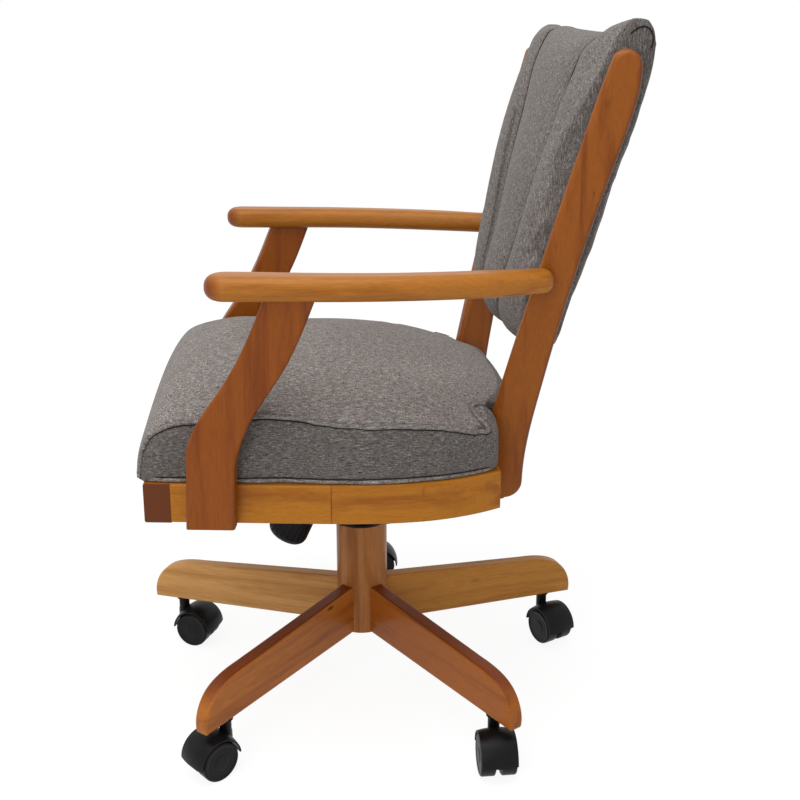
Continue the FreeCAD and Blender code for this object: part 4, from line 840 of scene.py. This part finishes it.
def make_back():
    """Back: one padded form, swelled between two sewn channels that fan upward."""
    low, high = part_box("back_cushion")
    item = voxel_copy(("back_cushion", "back_panel"), "back_pad", BACK_VOXEL, 2, BACK_SHRINK)
    tall = high[2] - low[2]
    spots = [(x * MM, y * MM, low[2] + share * tall) for share, x, y in CHANNEL]
    channels = [settle(path, mesh_tree(item)) for path in both_hands(smooth_path(spots))]
    points = read_points(item.data)
    ears = (np.abs(points[:, 0]) > 195 * MM) & (points[:, 2] > high[2] - 22 * MM)
    blow_up(item, ears | near_paths(item, channels, BACK_HELD), BACK_SWELL, BACK_PRESSURE)
    relax(item, 2)
    round_ears(item, high)
    channels = [settle(path, mesh_tree(item)) for path in channels]
    subdivide(item)
    # A soft fold runs beside the lower two thirds of each channel. Groove and painted shade start from
    # the
    # same smooth face: the shade darkens the cloth along the channels and, more weakly, along the folds.
    # The thread lies at the groove's bottom, a dark line that is painted shade of the groove as well as
    # thread.
    surface = mesh_tree(item)
    folds = [settle(path[FOLD_SPAN] * FOLD_SPREAD, surface) for path in channels]
    bottom = sum(depth for depth, _ in CHANNEL_GROOVES)
    thread_shadow_lines = [settle(path, surface, THREAD_RADIUS - bottom) for path in channels]
    lines = [(path, 1.0) for path in channels] + [(path, 0.6) for path in folds]
    paint_seam_shade(item, lines, CHANNEL_SHADE)
    for depth, width in CHANNEL_GROOVES:
        pinch(item, channels, depth, width)
    pinch(item, folds, *FOLD_GROOVE)
    item.data.materials.append(cloth_back)
    # Painted shade: faces that look sideways get the darker side copy of the cloth.
    normals = face_places(item)[1]
    second_cloth(item, cloth_back_side_shade, np.abs(normals[:, 0]) > 0.5)
    smooth_all(item)
    upholster(item, "back_cushion", "back_panel")
    surface = mesh_tree(item)
    # Dark thread at each channel's bottom: thread, and painted shade of the groove.
    for hand, path in zip(("left", "right"), thread_shadow_lines):
        thread_and_shadow_line("back_channel_thread_and_shadow_line_" + hand, path)
    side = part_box("back_panel")[1][0]
    arc = smooth_path([(side, y * MM, high[2] + drop * MM) for y, drop in EAR_STITCH])
    for hand, path in zip(("left", "right"), both_hands(arc)):
        thread_and_shadow_line("back_ear_stitch_" + hand, settle(path, surface, 0.1 * MM))


def make_spring():
    """Tension spring: the solid's own coils, copied as one piece in the solid's place."""
    item = merged_copy(("tension_spring",), "closing_spring", SPRING_MERGE)
    item.data.materials.append(bright_steel)
    ring = np.mean(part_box("spring_seat"), axis=0)
    middle = np.mean(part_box("tension_spring"), axis=0)
    along = (middle - ring) / np.linalg.norm(middle - ring)
    reach = (read_points(item.data) - middle) @ along
    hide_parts("tension_spring")
    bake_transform(item)


make_seat()
make_back()
make_spring()


def make_stage():
    """Pale floor: its own colour to the light, white where the camera or a reflection sees it."""
    material, tree, shader = new_material("pale_studio_floor")
    shader.inputs["Base Color"].default_value = linear("e9e9e9")
    shader.inputs["Roughness"].default_value = 0.9
    path = node(tree, "ShaderNodeLightPath")
    seen = node(tree, "ShaderNodeMath", {"operation": "MAXIMUM"},
                {0: path.outputs["Is Camera Ray"], 1: path.outputs["Is Glossy Ray"]})
    share = node(tree, "ShaderNodeMath", {"operation": "MULTIPLY", 1: 0.80}, {0: seen.outputs["Value"]})
    white = node(tree, "ShaderNodeEmission", {"Color": linear("ffffff"), "Strength": 1.12})
    mix = node(tree, "ShaderNodeMixShader",
               links={0: share.outputs["Value"], 1: shader.outputs["BSDF"], 2: white.outputs[0]})
    output = [item for item in tree.nodes if item.bl_idname == "ShaderNodeOutputMaterial"][0]
    tree.links.new(mix.outputs[0], output.inputs["Surface"])
    corners = [(x * FLOOR_HALF, y * FLOOR_HALF, 0) for x, y in ((-1, -1), (1, -1), (1, 1), (-1, 1))]
    mesh = bpy.data.meshes.new("floor")
    mesh.from_pydata(corners, [], [(0, 1, 2, 3)])
    mesh.materials.append(material)
    put_object("floor", mesh)


def make_world():
    """Even grey light; pure white to the camera, to gloss and through glass."""
    world = bpy.data.worlds.new("studio")
    bpy.context.scene.world = world
    world.use_nodes = True
    tree = world.node_tree
    tree.nodes.clear()
    path = node(tree, "ShaderNodeLightPath")
    seen = node(tree, "ShaderNodeMath", {"operation": "MAXIMUM"},
                {0: path.outputs["Is Camera Ray"], 1: path.outputs["Is Glossy Ray"]})
    seen = node(tree, "ShaderNodeMath", {"operation": "MAXIMUM"},
                {0: seen.outputs["Value"], 1: path.outputs["Is Transmission Ray"]})
    light = node(tree, "ShaderNodeBackground", {"Color": linear("ffffff"), "Strength": 0.56})
    white = node(tree, "ShaderNodeBackground", {"Color": linear("ffffff"), "Strength": 1.0})
    mix = node(tree, "ShaderNodeMixShader",
               links={0: seen.outputs["Value"], 1: light.outputs[0], 2: white.outputs[0]})
    node(tree, "ShaderNodeOutputWorld", links={"Surface": mix.outputs[0]})


def add_lamp(name, place, width, power):
    """A square softbox turned to the seat."""
    light = bpy.data.lights.new(name, "AREA")
    light.shape = "SQUARE"
    light.size = width
    light.energy = power
    lamp = bpy.data.objects.new(name, light)
    lamp.location = place
    lamp.rotation_euler = (Vector(LAMP_AIM) - Vector(place)).to_track_quat("-Z", "Y").to_euler()
    bpy.context.scene.collection.objects.link(lamp)


def make_camera():
    """The camera that the photograph was taken with, as fitted."""
    data = bpy.data.cameras.new("photo_camera")
    data.lens = CAMERA_LENS
    data.sensor_width = CAMERA_SENSOR
    data.shift_x, data.shift_y = CAMERA_SHIFT
    item = bpy.data.objects.new("photo_camera", data)
    item.location = CAMERA_PLACE
    item.rotation_euler = (Vector(CAMERA_AIM) - Vector(CAMERA_PLACE)).to_track_quat("-Z", "Y").to_euler()
    bpy.context.scene.collection.objects.link(item)
    bpy.context.scene.camera = item


make_stage()
make_world()
add_lamp("overhead_softbox", place=(0.6, -0.4, 2.6), width=1.8, power=31.0)
add_lamp("side_softbox", place=(2.4, -1.2, 1.4), width=1.2, power=15.0)
make_camera()
bpy.context.scene.view_settings.view_transform = "Standard"
